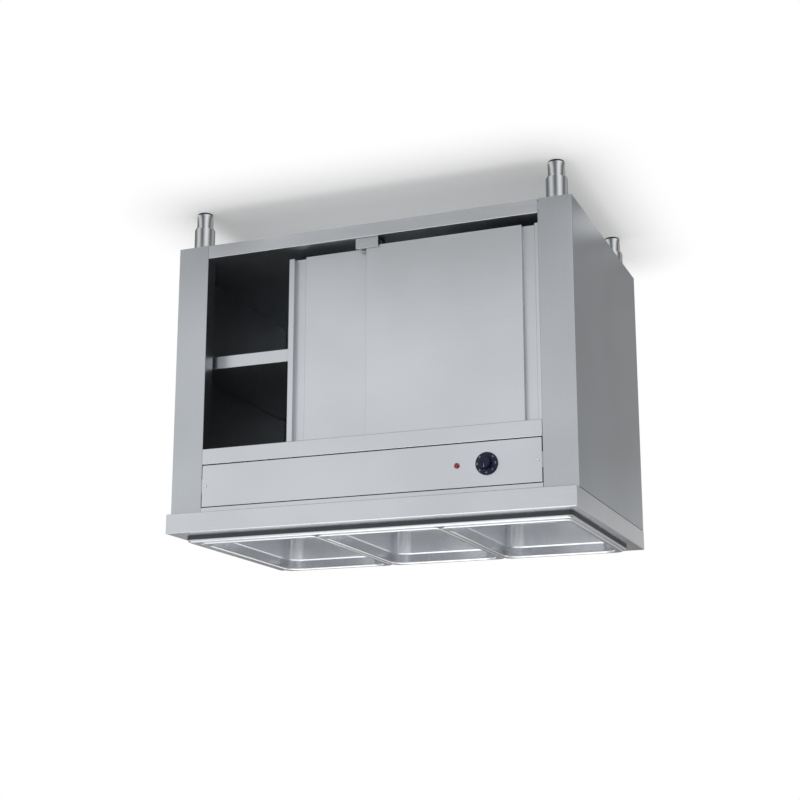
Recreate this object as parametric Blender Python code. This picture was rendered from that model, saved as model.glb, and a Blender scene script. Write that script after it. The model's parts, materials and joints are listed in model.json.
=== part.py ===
"""Floor-standing bain marie: a heated well with three gastronorm pans on a cupboard with two sliding doors.

Lengths are in metres and +Z is up. The front faces -Y, and the origin is on the floor under the middle of the
worktop.
"""

import math

import bmesh
import bpy
from mathutils import Matrix, Vector

# Fits and folds
GAP = 0.0003
OVERRUN = 0.002
FOLD_BEND = 0.0008
FOLD_STEPS = 2
WORKTOP_SHEET = 0.0015
CABINET_SHEET = 0.0012
DOOR_SHEET = 0.0010
PAN_SHEET = 0.0009
CHANNEL_SHEET = 0.0015

# Worktop: a skirt all round and a raised rim round the well; the pans set its length and depth
WORKTOP_HEIGHT = 0.875
BAND_HEIGHT = 0.050
BAND_CORNER = 0.004
BAND_EDGE_BEND = 0.0055
BAND_EDGE_STEPS = 4
BAND_RETURN = 0.020
BAND_FRONT_RETURN = 0.038
RIM_HEIGHT = 0.015
RIM_SIDE = 0.028
RIM_FRONT = 0.061
RIM_BACK = 0.088
RIM_CORNER = 0.011
RIM_BEND = 0.0015
WELL_CORNER = 0.010
WELL_LIP = 0.012
SMALLEST_CORNER = 0.0008
CORNER_STEPS = 3

# Gastronorm pans, size 1/1, 100 mm deep
PAN_COUNT = 3
PAN_WIDTH = 0.325
PAN_LENGTH = 0.530
PAN_DEPTH = 0.100
PAN_SPACING = 0.001
PAN_FLANGE = 0.0125
PAN_EDGE = 0.0042
PAN_FLANGE_CORNER = 0.016
PAN_BODY_CORNER = 0.042
PAN_SHOULDER_DEPTH = 0.027
PAN_SHOULDER = 0.0045
PAN_TAPER = 0.006
PAN_EDGE_BEND = 0.0012
PAN_MOUTH_BEND = 0.0030
PAN_FLOOR_BEND = 0.012
PAN_FLOOR_STEPS = 3
PAN_CORNER_STEPS = 4
PAN_FROM_RIM_LEFT = 0.005
PAN_FROM_RIM_RIGHT = 0.032
PAN_FROM_RIM_FRONT = 0.007
PAN_FROM_RIM_BACK = 0.014
PAN_BEARING = 0.0095

# Well tank and the bars that carry the pans between them
TANK_DEPTH = 0.180
TANK_PLAY = 0.0040
TANK_FLANGE = 0.0062
TANK_FLOOR_BEND = 0.006
BAR_WIDTH = 0.020
BAR_HEIGHT = 0.014

# Heating element: one tube bent into runs under the pans
ELEMENT_RADIUS = 0.00425
ELEMENT_HEIGHT = 0.024
ELEMENT_RUNS = 6
ELEMENT_SIDE_MARGIN = 0.050
ELEMENT_FRONT_MARGIN = 0.070
ELEMENT_BACK_MARGIN = 0.060
ELEMENT_RUN_START = 0.080
ELEMENT_BEND = 0.020
ELEMENT_LEAD_X = -0.050
ELEMENT_LEAD_SPACING = 0.040
ELEMENT_LEAD_OUT = 0.022
ELEMENT_SIDES = 8
ELEMENT_BEND_STEPS = 3
FLANGE_PLATE_WIDTH = 0.080
FLANGE_PLATE_HEIGHT = 0.030
FLANGE_PLATE_THICKNESS = 0.003

# Cabinet
FRONT_OVERHANG = 0.025
REAR_OVERHANG = 0.005
CABINET_BOTTOM = 0.108
POST_WIDTH = 0.086
POST_RETURN = 0.006
SIDE_REAR_RETURN = 0.020
SIDE_FLANGE = 0.019
SIDE_FLANGE_SETBACK = 0.020
BACK_RECESS = 0.015
RAIL_JOINT = 0.0018
TOP_RAIL_FACE = 0.0145
TOP_RAIL_DEPTH = 0.022
TOP_RAIL_HEM = 0.008
CONTROL_BELOW_TANK = 0.0095
CONTROL_REVEAL = 0.0018
CONTROL_RETURN = 0.012
MIDDLE_RAIL_FACE = 0.041
MIDDLE_RAIL_RETURN = 0.0085
MIDDLE_RAIL_FLANGE = 0.055
BOTTOM_RAIL_FACE = 0.036
BOTTOM_RAIL_RETURN = 0.012
SHELF_UPSTAND = 0.015
MID_SHELF_RISE = 0.286
MID_SHELF_SETBACK = 0.060
MID_SHELF_LIP = 0.034
MID_SHELF_HEM = 0.010
SHELF_SIDE_PLAY = 0.0035
BRACKET_WIDTH = 0.022
BRACKET_HEIGHT = 0.025
BRACKET_FRONT_SETBACK = 0.012
TAB_WIDTH = 0.026
TAB_HEIGHT = 0.038
STOP_LEG = 0.026
STOP_DEPTH = 0.0445

# Legs: a tube welded under a channel, and a foot that winds in and out of it
CHANNEL_HEIGHT = 0.029
LEG_SIDE_INSET = 0.048
LEG_FRONT_INSET = 0.046
LEG_REAR_INSET = 0.047
LEG_RADIUS = 0.027
LEG_WALL = 0.002
LEG_BOTTOM = 0.039
LEG_CONE_HEIGHT = 0.007
LEG_TIP_WIDTH = 0.0015
LEG_RING_HEIGHT = 0.011
FOOT_RADIUS = 0.021
FOOT_WALL = 0.004
FOOT_FLOOR = 0.006
FOOT_CHAMFER = 0.0015
FOOT_TOP = 0.085
FOOT_COLLAR_HEIGHT = 0.005
ROUND_STEPS = 20

# Sliding doors, hung from rollers
DOOR_THICKNESS = 0.016
DOOR_PITCH = 0.020
DOOR_SETBACK = 0.012
DOOR_LAP = 0.0036
DOOR_OVERLAP = 0.0096
DOOR_TOP_LAP = 0.0105
DOOR_LIFT = 0.021
REAR_DOOR_OPEN = 0.224
PULL_EDGE = 0.0156
PULL_WIDTH = 0.032
PULL_DEPTH = 0.0135
TRACK_SHEET = 0.0015
TRACK_LIP_CLEARANCE = 0.0022
TRACK_WEB_OFFSET = 0.0045
TRACK_LIP_EXTRA = 0.0005
ROLLER_RADIUS = 0.009
ROLLER_WIDTH = 0.005
ROLLER_PLAY = 0.0015
ROLLER_CHAMFER = 0.0006
AXLE_RADIUS = 0.003
AXLE_END = 0.0005
AXLE_COLLAR = 0.0045
HANGER_OFFSET = 0.002
HANGER_SHEET = 0.002
HANGER_WIDTH = 0.024
HANGER_RISE = 0.007
HANGER_FOOT = 0.008
HANGER_INSET = 0.060
ROLLER_STEPS = 16
GUIDE_LENGTH = 0.061
GUIDE_TOP = 0.027
GUIDE_BASE = 0.006
GUIDE_PLAY = 0.0005
GUIDE_LIP = 0.006

# Controls
KNOB_FROM_POST = 0.1368
KNOB_RADIUS = 0.028
KNOB_SKIRT = 0.004
KNOB_SKIRT_TAPER = 0.0008
KNOB_GRIP_RADIUS = 0.0165
KNOB_GRIP_TAPER = 0.0020
KNOB_DEPTH = 0.0235
KNOB_OFF_PANEL = 0.0005
KNOB_EDGE = 0.0015
KNOB_FLUTES = 12
KNOB_FLUTE = 0.0014
KNOB_FLUTE_STEPS = 3
KNOB_BORE_DEPTH = 0.012
SPINDLE_RADIUS = 0.003
SPINDLE_HOLE = 0.005
THERMOSTAT_SIZE = 0.036
THERMOSTAT_CORNER = 0.006
THERMOSTAT_DEPTH = 0.034
THERMOSTAT_BORE_DEPTH = 0.024
BULB_RADIUS = 0.0032
BULB_LENGTH = 0.080
BULB_RISE = 0.012
CAPILLARY_RADIUS = 0.0011
CAPILLARY_BEND = 0.003
CAPILLARY_DROP = 0.008
CAPILLARY_RUN = 0.016
LAMP_FROM_KNOB = 0.0748
LENS_RADIUS = 0.00675
LENS_FLANGE = 0.0015
LENS_DOME = 0.0045
LENS_DOME_STEPS = 4
LENS_STEM_RADIUS = 0.004
LENS_STEM = 0.009
LAMP_BODY_RADIUS = 0.0057
LAMP_BODY_LENGTH = 0.028
LAMP_NUT_RADIUS = 0.009
LAMP_NUT = 0.004
SMALL_STEPS = 16
SCREW_INSET = 0.0118
SCREW_HEAD_RADIUS = 0.004
SCREW_HEAD = 0.0022
SCREW_SHANK = 0.002
SCREW_LENGTH = 0.007
SCREW_STEPS = 12
BLOCK_X = 0.060
BLOCK_POLES = 4
BLOCK_PITCH = 0.014
BLOCK_HEIGHT = 0.022
BLOCK_NOTCH = 0.003
BLOCK_NOTCH_DEPTH = 0.006
BLOCK_DEPTH = 0.018
GLAND_FROM_SIDE = 0.115
GLAND_DROP = 0.085
GLAND_SHANK = 0.008
GLAND_BORE = 0.0045
GLAND_FLANGE_RADIUS = 0.012
GLAND_FLANGE = 0.005
GLAND_NOSE_RADIUS = 0.0095
GLAND_TIP_RADIUS = 0.0065
GLAND_NOSE = 0.013
GLAND_INSIDE = 0.010

# Drain: a plug cock under the back left of the tank
DRAIN_FROM_SIDE = 0.135
DRAIN_FROM_PANS_BACK = 0.098
DRAIN_NECK = 0.010
DRAIN_NECK_RISE = 0.0015
DRAIN_NUT_RADIUS = 0.017
DRAIN_NUT = 0.006
DRAIN_PIPE = 0.012
DRAIN_BORE = 0.0055
DRAIN_DROP = 0.041
DRAIN_OUTLET_RADIUS = 0.010
DRAIN_OUTLET = 0.055
BARREL_RADIUS = 0.0135
BARREL_LENGTH = 0.036
BARREL_BACK = 0.004
CROSSING_SHARE = 0.5
PLUG_RADIUS = 0.009
STEM_SHOULDER_RADIUS = 0.0065
STEM_SHOULDER = 0.005
STEM_RADIUS = 0.004
STEM_LENGTH = 0.012
LEVER_EYE = 0.008
LEVER_WIDTH = 0.010
LEVER_LENGTH = 0.070
LEVER_THICKNESS = 0.003

# Places that follow from the sizes above
PANS_ACROSS = PAN_COUNT * PAN_WIDTH + (PAN_COUNT - 1) * PAN_SPACING
WORKTOP_LENGTH = RIM_SIDE + PAN_FROM_RIM_LEFT + PANS_ACROSS + PAN_FROM_RIM_RIGHT + RIM_SIDE
WORKTOP_DEPTH = RIM_FRONT + PAN_FROM_RIM_FRONT + PAN_LENGTH + PAN_FROM_RIM_BACK + RIM_BACK
LEFT = -WORKTOP_LENGTH / 2
RIGHT = WORKTOP_LENGTH / 2
FRONT = -WORKTOP_DEPTH / 2
BACK = WORKTOP_DEPTH / 2
CABINET_FRONT = FRONT + FRONT_OVERHANG
CABINET_BACK = BACK - REAR_OVERHANG
BAND_BOTTOM = WORKTOP_HEIGHT - BAND_HEIGHT
RIM_TOP = WORKTOP_HEIGHT + RIM_HEIGHT
PAN_TOP = RIM_TOP + GAP + PAN_EDGE
CABINET_TOP = BAND_BOTTOM - GAP
POST_EDGE = RIGHT - POST_WIDTH
SIDE_INNER = RIGHT - CABINET_SHEET
BACK_PANEL_FRONT = CABINET_BACK - CABINET_SHEET - GAP - BACK_RECESS
TOP_RAIL_BOTTOM = CABINET_TOP - TOP_RAIL_FACE
CONTROL_TOP = TOP_RAIL_BOTTOM - RAIL_JOINT
TANK_FLOOR = RIM_TOP - TANK_DEPTH
CONTROL_BOTTOM = TANK_FLOOR - CONTROL_BELOW_TANK
CONTROL_Z = (CONTROL_TOP + CONTROL_BOTTOM) / 2
CONTROL_BACK = CABINET_FRONT + CABINET_SHEET
KNOB_X = KNOB_FROM_POST - POST_EDGE
LAMP_X = KNOB_X + LAMP_FROM_KNOB
GLAND_X = LEFT + GLAND_FROM_SIDE
GLAND_Z = CABINET_TOP - GLAND_DROP
MIDDLE_RAIL_TOP = CONTROL_BOTTOM - RAIL_JOINT
MIDDLE_RAIL_BOTTOM = MIDDLE_RAIL_TOP - MIDDLE_RAIL_FACE
SHELF_TOP = CABINET_BOTTOM + BOTTOM_RAIL_FACE
MID_SHELF_TOP = SHELF_TOP + MID_SHELF_RISE
SHELF_BACK = BACK_PANEL_FRONT - GAP - CABINET_SHEET
CHANNEL_TOP = SHELF_TOP - CABINET_SHEET - GAP
DOOR_TOP = MIDDLE_RAIL_BOTTOM + DOOR_TOP_LAP
DOOR_BOTTOM = SHELF_TOP + DOOR_LIFT
DOOR_FRONT = CABINET_FRONT + DOOR_SETBACK
DOOR_REACH = POST_EDGE + DOOR_LAP
DOOR_WIDTH = DOOR_REACH + DOOR_OVERLAP / 2
TRACK_TOP = MIDDLE_RAIL_TOP - CABINET_SHEET - GAP
LIP_BOTTOM = DOOR_TOP + GAP + HANGER_SHEET + TRACK_LIP_CLEARANCE
LIP_TOP = LIP_BOTTOM + TRACK_SHEET
ROLLER_Z = LIP_TOP + GAP + ROLLER_RADIUS

# Boxes seen from above, as left, right, front and back
BAND_BOX = (LEFT, RIGHT, FRONT, BACK)
RETURN_BOX = (LEFT + BAND_RETURN, RIGHT - BAND_RETURN, FRONT + BAND_FRONT_RETURN, BACK - BAND_RETURN)
RIM_BOX = (LEFT + RIM_SIDE, RIGHT - RIM_SIDE, FRONT + RIM_FRONT, BACK - RIM_BACK)
PANS_LEFT = RIM_BOX[0] + PAN_FROM_RIM_LEFT
PANS_RIGHT = RIM_BOX[1] - PAN_FROM_RIM_RIGHT
PANS_FRONT = RIM_BOX[2] + PAN_FROM_RIM_FRONT
PANS_BACK = RIM_BOX[3] - PAN_FROM_RIM_BACK
WELL_BOX = (
    PANS_LEFT + PAN_BEARING,
    PANS_RIGHT - PAN_BEARING,
    PANS_FRONT + PAN_BEARING,
    PANS_BACK - PAN_BEARING,
)
DRAIN_X = LEFT + DRAIN_FROM_SIDE
DRAIN_Y = PANS_BACK - DRAIN_FROM_PANS_BACK
DRAIN_Z = TANK_FLOOR - DRAIN_DROP

# Base colour, metallic and roughness of each finish
FINISHES = {
    "brushed_steel": ((0.56, 0.57, 0.59), 1.0, 0.34),
    "satin_steel": ((0.50, 0.52, 0.54), 1.0, 0.42),
    "polished_steel": ((0.62, 0.63, 0.65), 1.0, 0.22),
    "zinc_plate": ((0.42, 0.43, 0.44), 1.0, 0.45),
    "aluminium": ((0.50, 0.51, 0.53), 1.0, 0.42),
    "element_alloy": ((0.10, 0.10, 0.11), 1.0, 0.50),
    "brass": ((0.55, 0.38, 0.14), 1.0, 0.35),
    "black_plastic": ((0.012, 0.013, 0.020), 0.0, 0.45),
    "grey_plastic": ((0.16, 0.16, 0.17), 0.0, 0.50),
    "white_nylon": ((0.70, 0.70, 0.68), 0.0, 0.40),
    "red_lens": ((0.55, 0.01, 0.01), 0.0, 0.15),
}

PLANES = {
    "X": lambda u, v, along: (along, u, v),
    "Y": lambda u, v, along: (u, along, v),
    "Z": lambda u, v, along: (u, v, along),
}


def coat(piece, finish):
    """Gives a piece its own material."""
    colour, metallic, roughness = FINISHES[finish]
    material = bpy.data.materials.new(piece.name + "_" + finish)
    material.use_nodes = True
    shader = material.node_tree.nodes["Principled BSDF"]
    shader.inputs["Base Color"].default_value = (*colour, 1.0)
    shader.inputs["Metallic"].default_value = metallic
    shader.inputs["Roughness"].default_value = roughness
    piece.data.materials.append(material)


def solid(name, points, faces, finish=None):
    """One closed mesh from its points and faces, turned so that every face points outwards."""
    shape = bmesh.new()
    corners = [shape.verts.new(point) for point in points]
    for face in faces:
        shape.faces.new([corners[index] for index in face])
    bmesh.ops.recalc_face_normals(shape, faces=shape.faces)
    mesh = bpy.data.meshes.new(name)
    shape.to_mesh(mesh)
    shape.free()
    mesh.shade_smooth()
    mesh.set_sharp_from_angle(angle=math.radians(30))
    piece = bpy.data.objects.new(name, mesh)
    bpy.context.scene.collection.objects.link(piece)
    if finish:
        coat(piece, finish)
    return piece


def between(rings, closed):
    """Faces that join rings of equal length, with a cap on each end unless the rings close on themselves."""
    count = len(rings[0])
    faces = []
    for lower in range(len(rings) if closed else len(rings) - 1):
        upper = (lower + 1) % len(rings)
        for here in range(count):
            there = (here + 1) % count
            face = [lower * count + here, lower * count + there, upper * count + there, upper * count + here]
            faces.append(tuple(face))
    if not closed:
        faces.append(tuple(range(count)))
        faces.append(tuple(range((len(rings) - 1) * count, len(rings) * count)))
    return faces


def loft(name, rings, finish=None, closed=False):
    """A body whose skin runs from ring to ring."""
    points = [point for ring in rings for point in ring]
    return solid(name, points, between(rings, closed), finish)


def prism(name, outline, axis, low, high, finish=None):
    """An outline drawn across one axis and carried along it from low to high."""
    rings = [[PLANES[axis](u, v, along) for u, v in outline] for along in (low, high)]
    return loft(name, rings, finish)


def block(name, low, high, finish=None):
    """A plain box between two corners."""
    outline = ((low[0], low[1]), (high[0], low[1]), (high[0], high[1]), (low[0], high[1]))
    return prism(name, outline, "Z", low[2], high[2], finish)


def turned(name, profile, axis, centre, finish=None, steps=ROUND_STEPS, shape=None, start_share=0):
    """A profile of radius and distance along the axis, turned about it.

    A profile that starts and ends on the axis gives a solid body, and any other closes on itself round a
    bore. shape can vary the radius with the angle, and start_share turns the facets by a share of a step.
    """
    bored = profile[0][0] > 0
    points = []
    rings = []
    for radius, along in profile:
        ring = []
        for step in range(steps if radius > 0 else 1):
            angle = 2 * math.pi * (step + start_share) / steps
            reach = shape(radius, angle) if shape else radius
            ring.append(len(points))
            spot = PLANES[axis](reach * math.cos(angle), reach * math.sin(angle), along)
            points.append(Vector(spot) + Vector(centre))
        rings.append(ring)
    faces = []
    for index in range(len(rings) if bored else len(rings) - 1):
        lower, upper = rings[index], rings[(index + 1) % len(rings)]
        for here in range(steps):
            there = (here + 1) % steps
            below = [lower[spot % len(lower)] for spot in (here, there)]
            above = [upper[spot % len(upper)] for spot in (there, here)]
            faces.append(tuple(dict.fromkeys(below + above)))
    return solid(name, points, faces, finish)


def rod(name, radius, axis, centre, low, high, finish=None, steps=ROUND_STEPS, start_share=0):
    """A plain cylinder along an axis through centre, from low to high beside it."""
    profile = ((0, low), (radius, low), (radius, high), (0, high))
    return turned(name, profile, axis, centre, finish, steps, start_share=start_share)


def filleted(route, bend, steps):
    """A route in space with each corner rounded to an arc of the bend radius."""
    corners = [Vector(point) for point in route]
    points = [corners[0]]
    for before, here, after in zip(corners, corners[1:], corners[2:]):
        back = (before - here).normalized()
        ahead = (after - here).normalized()
        opening = back.angle(ahead)
        reach = bend / math.tan(opening / 2)
        centre = here + (back + ahead).normalized() * bend / math.sin(opening / 2)
        first = here + back * reach - centre
        turn = first.cross(here + ahead * reach - centre).normalized()
        for step in range(steps + 1):
            spin = Matrix.Rotation((math.pi - opening) * step / steps, 3, turn)
            points.append(centre + spin @ first)
    points.append(corners[-1])
    return points


def swept(name, points, radii, sides, finish=None):
    """A round tube along points, with a radius at each, whose rings turn as little as they can."""
    rings = []
    side = None
    for index, (point, radius) in enumerate(zip(points, radii)):
        ahead = points[min(index + 1, len(points) - 1)] - points[max(index - 1, 0)]
        ahead.normalize()
        if side is None:
            side = ahead.orthogonal()
        side = (side - ahead * side.dot(ahead)).normalized()
        other = ahead.cross(side)
        ring = []
        for step in range(sides):
            angle = 2 * math.pi * step / sides
            ring.append(point + (side * math.cos(angle) + other * math.sin(angle)) * radius)
        rings.append(ring)
    return loft(name, rings, finish)


def folded(line, sheet, bends=FOLD_BEND, steps=FOLD_STEPS):
    """Outline of a folded sheet: one face follows the line, and the sheet lies to the left of it.

    Each corner becomes an arc about one centre for both faces, with the bend as its inner radius.
    """
    corners = [Vector(point) for point in line]
    if not isinstance(bends, (tuple, list)):
        bends = [bends] * (len(corners) - 2)
    if not isinstance(steps, (tuple, list)):
        steps = [steps] * (len(corners) - 2)
    face, back = [], []
    for index, here in enumerate(corners):
        if index in (0, len(corners) - 1):
            ahead = (corners[1] - here) if index == 0 else (here - corners[-2])
            ahead.normalize()
            face.append(here)
            back.append(here + Vector((-ahead.y, ahead.x)) * sheet)
            continue
        before = (here - corners[index - 1]).normalized()
        after = (corners[index + 1] - here).normalized()
        turn = math.atan2(before.cross(after), before.dot(after))
        side = math.copysign(1, turn)
        bend = bends[index - 1]
        face_radius = bend + sheet if side > 0 else bend
        back_radius = bend if side > 0 else bend + sheet
        start = here - before * face_radius * math.tan(abs(turn) / 2)
        inward = Vector((-before.y, before.x)) * side
        centre = start + inward * face_radius
        for step in range(steps[index - 1] + 1):
            angle = turn * step / steps[index - 1]
            cosine, sine = math.cos(angle), math.sin(angle)
            outward = Vector((-inward.x * cosine + inward.y * sine, -inward.x * sine - inward.y * cosine))
            face.append(centre + outward * face_radius)
            back.append(centre + outward * back_radius)
    return face + back[::-1]


def inset(box, distance):
    left, right, front, back = box
    return (left + distance, right - distance, front + distance, back - distance)


def ring(box, corner, height, steps=CORNER_STEPS):
    """A rectangle seen from above with rounded corners, at one height."""
    left, right, front, back = box
    corner = max(corner, SMALLEST_CORNER)
    centres = (
        (right - corner, back - corner),
        (left + corner, back - corner),
        (left + corner, front + corner),
        (right - corner, front + corner),
    )
    points = []
    for quarter, (across, along) in enumerate(centres):
        for step in range(steps + 1):
            angle = math.pi / 2 * (quarter + step / steps)
            points.append((across + corner * math.cos(angle), along + corner * math.sin(angle), height))
    return points


def hide(tool):
    tool.hide_render = True
    tool.display_type = "WIRE"


def combine(piece, tool, operation):
    """Cuts or joins with a hidden tool that stays in the file."""
    hide(tool)
    step = piece.modifiers.new(operation.title() + "_" + tool.name, "BOOLEAN")
    step.operation = operation
    step.solver = "EXACT"
    step.object = tool


def cut(piece, tool):
    combine(piece, tool, "DIFFERENCE")


def join(piece, tool):
    combine(piece, tool, "UNION")


def set_origin(piece, point):
    """Moves a piece's origin without moving the piece."""
    piece.data.transform(Matrix.Translation(-Vector(point)))
    piece.location = point


def carry(pieces, carrier):
    """Hangs pieces on the one that carries them, where they are."""
    for piece in pieces:
        piece.parent = carrier
        piece.location = Vector(piece.location) - Vector(carrier.location)


def mirrored(outline):
    return [(-across, along) for across, along in outline]


def make_worktop():
    """The top, its skirt and the raised rim are one folded sheet, lofted round from the lip in the well."""
    rim_inset = RIM_FRONT
    well_inset = RIM_FRONT + PAN_FROM_RIM_FRONT + PAN_BEARING
    anchors = (
        (0, BAND_BOX, BAND_CORNER),
        (BAND_RETURN, RETURN_BOX, BAND_CORNER),
        (rim_inset, RIM_BOX, RIM_CORNER),
        (well_inset, WELL_BOX, WELL_CORNER),
    )
    line = (
        (well_inset, RIM_TOP - WELL_LIP),
        (well_inset, RIM_TOP),
        (rim_inset, RIM_TOP),
        (rim_inset, WORKTOP_HEIGHT),
        (0, WORKTOP_HEIGHT),
        (0, BAND_BOTTOM),
        (BAND_RETURN, BAND_BOTTOM),
    )
    bends = (FOLD_BEND, RIM_BEND, RIM_BEND, BAND_EDGE_BEND, FOLD_BEND)
    steps = (FOLD_STEPS, FOLD_STEPS, FOLD_STEPS, BAND_EDGE_STEPS, FOLD_STEPS)
    rings = []
    for distance, height in folded(line, WORKTOP_SHEET, bends, steps):
        start, box, corner = min(anchors, key=lambda anchor: abs(anchor[0] - distance))
        beyond = distance - start
        rings.append(ring(inset(box, beyond), corner - beyond, height))
    loft("worktop", rings, "brushed_steel", closed=True)


def tank_box():
    return inset(WELL_BOX, -TANK_PLAY)


def make_tank():
    """The tank hangs by its flange under the rim."""
    box = tank_box()
    flange_top = RIM_TOP - WORKTOP_SHEET - GAP
    line = (
        (2 * TANK_FLOOR_BEND, TANK_FLOOR),
        (0, TANK_FLOOR),
        (0, flange_top),
        (-TANK_FLANGE, flange_top),
    )
    bends = (TANK_FLOOR_BEND, FOLD_BEND)
    rings = []
    for distance, height in folded(line, CABINET_SHEET, bends, (PAN_FLOOR_STEPS, FOLD_STEPS)):
        rings.append(ring(inset(box, distance), WELL_CORNER + TANK_PLAY - distance, height))
    tank = loft("well_tank", rings, "satin_steel")
    outer_front = box[2] - CABINET_SHEET
    for number, x in enumerate(lead_places()):
        hole = rod(f"element_hole_{number}", ELEMENT_RADIUS + GAP, "Y", (x, 0, element_z()),
                   outer_front - OVERRUN, box[2] + OVERRUN, steps=SMALL_STEPS)
        cut(tank, hole)
    drain_hole = rod("drain_hole", DRAIN_NECK + GAP, "Z", (DRAIN_X, DRAIN_Y, 0),
                     TANK_FLOOR - CABINET_SHEET - OVERRUN, TANK_FLOOR + OVERRUN)
    cut(tank, drain_hole)


def pan_box(number):
    left = PANS_LEFT + number * (PAN_WIDTH + PAN_SPACING)
    return (left, left + PAN_WIDTH, PANS_FRONT, PANS_BACK)


def make_bars():
    """An inverted channel under each joint between two pans, from lip to lip."""
    for number, name in enumerate(("cross_bar_left", "cross_bar_right")):
        middle = pan_box(number)[1] + PAN_SPACING / 2
        left = middle - BAR_WIDTH / 2
        right = middle + BAR_WIDTH / 2
        bottom = RIM_TOP - BAR_HEIGHT
        line = ((right, bottom), (right, RIM_TOP), (left, RIM_TOP), (left, bottom))
        prism(name, folded(line, CABINET_SHEET), "Y", WELL_BOX[2] + GAP, WELL_BOX[3] - GAP, "brushed_steel")


def make_pans():
    """Pressed pans: flange with its edge turned down, straight mouth, stacking shoulder and rounded floor."""
    floor = PAN_TOP - PAN_DEPTH + PAN_SHEET
    shoulder_z = PAN_TOP - PAN_SHOULDER_DEPTH
    wall = PAN_FLANGE + PAN_SHEET
    waist = wall + PAN_SHOULDER
    foot = waist + PAN_TAPER
    line = (
        (foot + 2 * PAN_FLOOR_BEND, floor),
        (foot, floor),
        (waist, shoulder_z),
        (wall, shoulder_z),
        (wall, PAN_TOP),
        (0, PAN_TOP),
        (0, PAN_TOP - PAN_EDGE),
    )
    bends = (PAN_FLOOR_BEND, PAN_EDGE_BEND, PAN_EDGE_BEND, PAN_MOUTH_BEND, PAN_EDGE_BEND)
    steps = (PAN_FLOOR_STEPS, 1, 1, FOLD_STEPS, FOLD_STEPS)
    outline = folded(line, PAN_SHEET, bends, steps)
    for number, name in enumerate(("pan_left", "pan_centre", "pan_right")):
        box = pan_box(number)
        rings = []
        for distance, height in outline:
            inward = min(max(distance, 0) / PAN_FLANGE, 1)
            corner = PAN_FLANGE_CORNER + (PAN_BODY_CORNER - PAN_FLANGE_CORNER) * inward
            rings.append(ring(inset(box, distance), corner, height, PAN_CORNER_STEPS))
        pan = loft(name, rings, "polished_steel")
        set_origin(pan, ((box[0] + box[1]) / 2, (box[2] + box[3]) / 2, RIM_TOP))


def element_z():
    return TANK_FLOOR + ELEMENT_HEIGHT


def lead_places():
    half = ELEMENT_LEAD_SPACING / 2
    return (ELEMENT_LEAD_X - half, ELEMENT_LEAD_X + half)


def make_element():
    """One tube: along the front, back in long runs from right to left, and out beside where it came in."""
    left, right, front, back = tank_box()
    height = element_z()
    outside = front - CABINET_SHEET - ELEMENT_LEAD_OUT
    row = front + ELEMENT_FRONT_MARGIN
    near = front + ELEMENT_FRONT_MARGIN + ELEMENT_RUN_START
    far = back - ELEMENT_BACK_MARGIN
    first = right - ELEMENT_SIDE_MARGIN
    pitch = (right - left - 2 * ELEMENT_SIDE_MARGIN) / (ELEMENT_RUNS - 1)
    lead_in, lead_out = lead_places()
    route = [(lead_out, outside, height), (lead_out, row, height), (first, row, height)]
    for run in range(ELEMENT_RUNS):
        x = first - run * pitch
        starts_near = run % 2 == 0
        start = near if starts_near else far
        end = far if starts_near else near
        if run == 0:
            route.append((x, end, height))
        elif run == ELEMENT_RUNS - 1:
            route.extend([(x, start, height), (x, row, height)])
        else:
            route.extend([(x, start, height), (x, end, height)])
    route.extend([(lead_in, row, height), (lead_in, outside, height)])
    points = filleted(route, ELEMENT_BEND, ELEMENT_BEND_STEPS)
    swept("heating_element", points, [ELEMENT_RADIUS] * len(points), ELEMENT_SIDES, "element_alloy")

    plate_back = front - CABINET_SHEET - GAP
    middle = ELEMENT_LEAD_X
    half_width = FLANGE_PLATE_WIDTH / 2
    half_height = FLANGE_PLATE_HEIGHT / 2
    plate_box = (middle - half_width, middle + half_width, height - half_height, height + half_height)
    outline = [point[:2] for point in ring(plate_box, half_height / 2, 0)]
    plate = prism("element_flange", outline, "Y", plate_back - FLANGE_PLATE_THICKNESS, plate_back, "brass")
    for number, x in enumerate(lead_places()):
        hole = rod(f"flange_hole_{number}", ELEMENT_RADIUS + GAP, "Y", (x, 0, height),
                   plate_back - FLANGE_PLATE_THICKNESS - OVERRUN, plate_back + OVERRUN, steps=SMALL_STEPS)
        cut(plate, hole)


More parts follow.
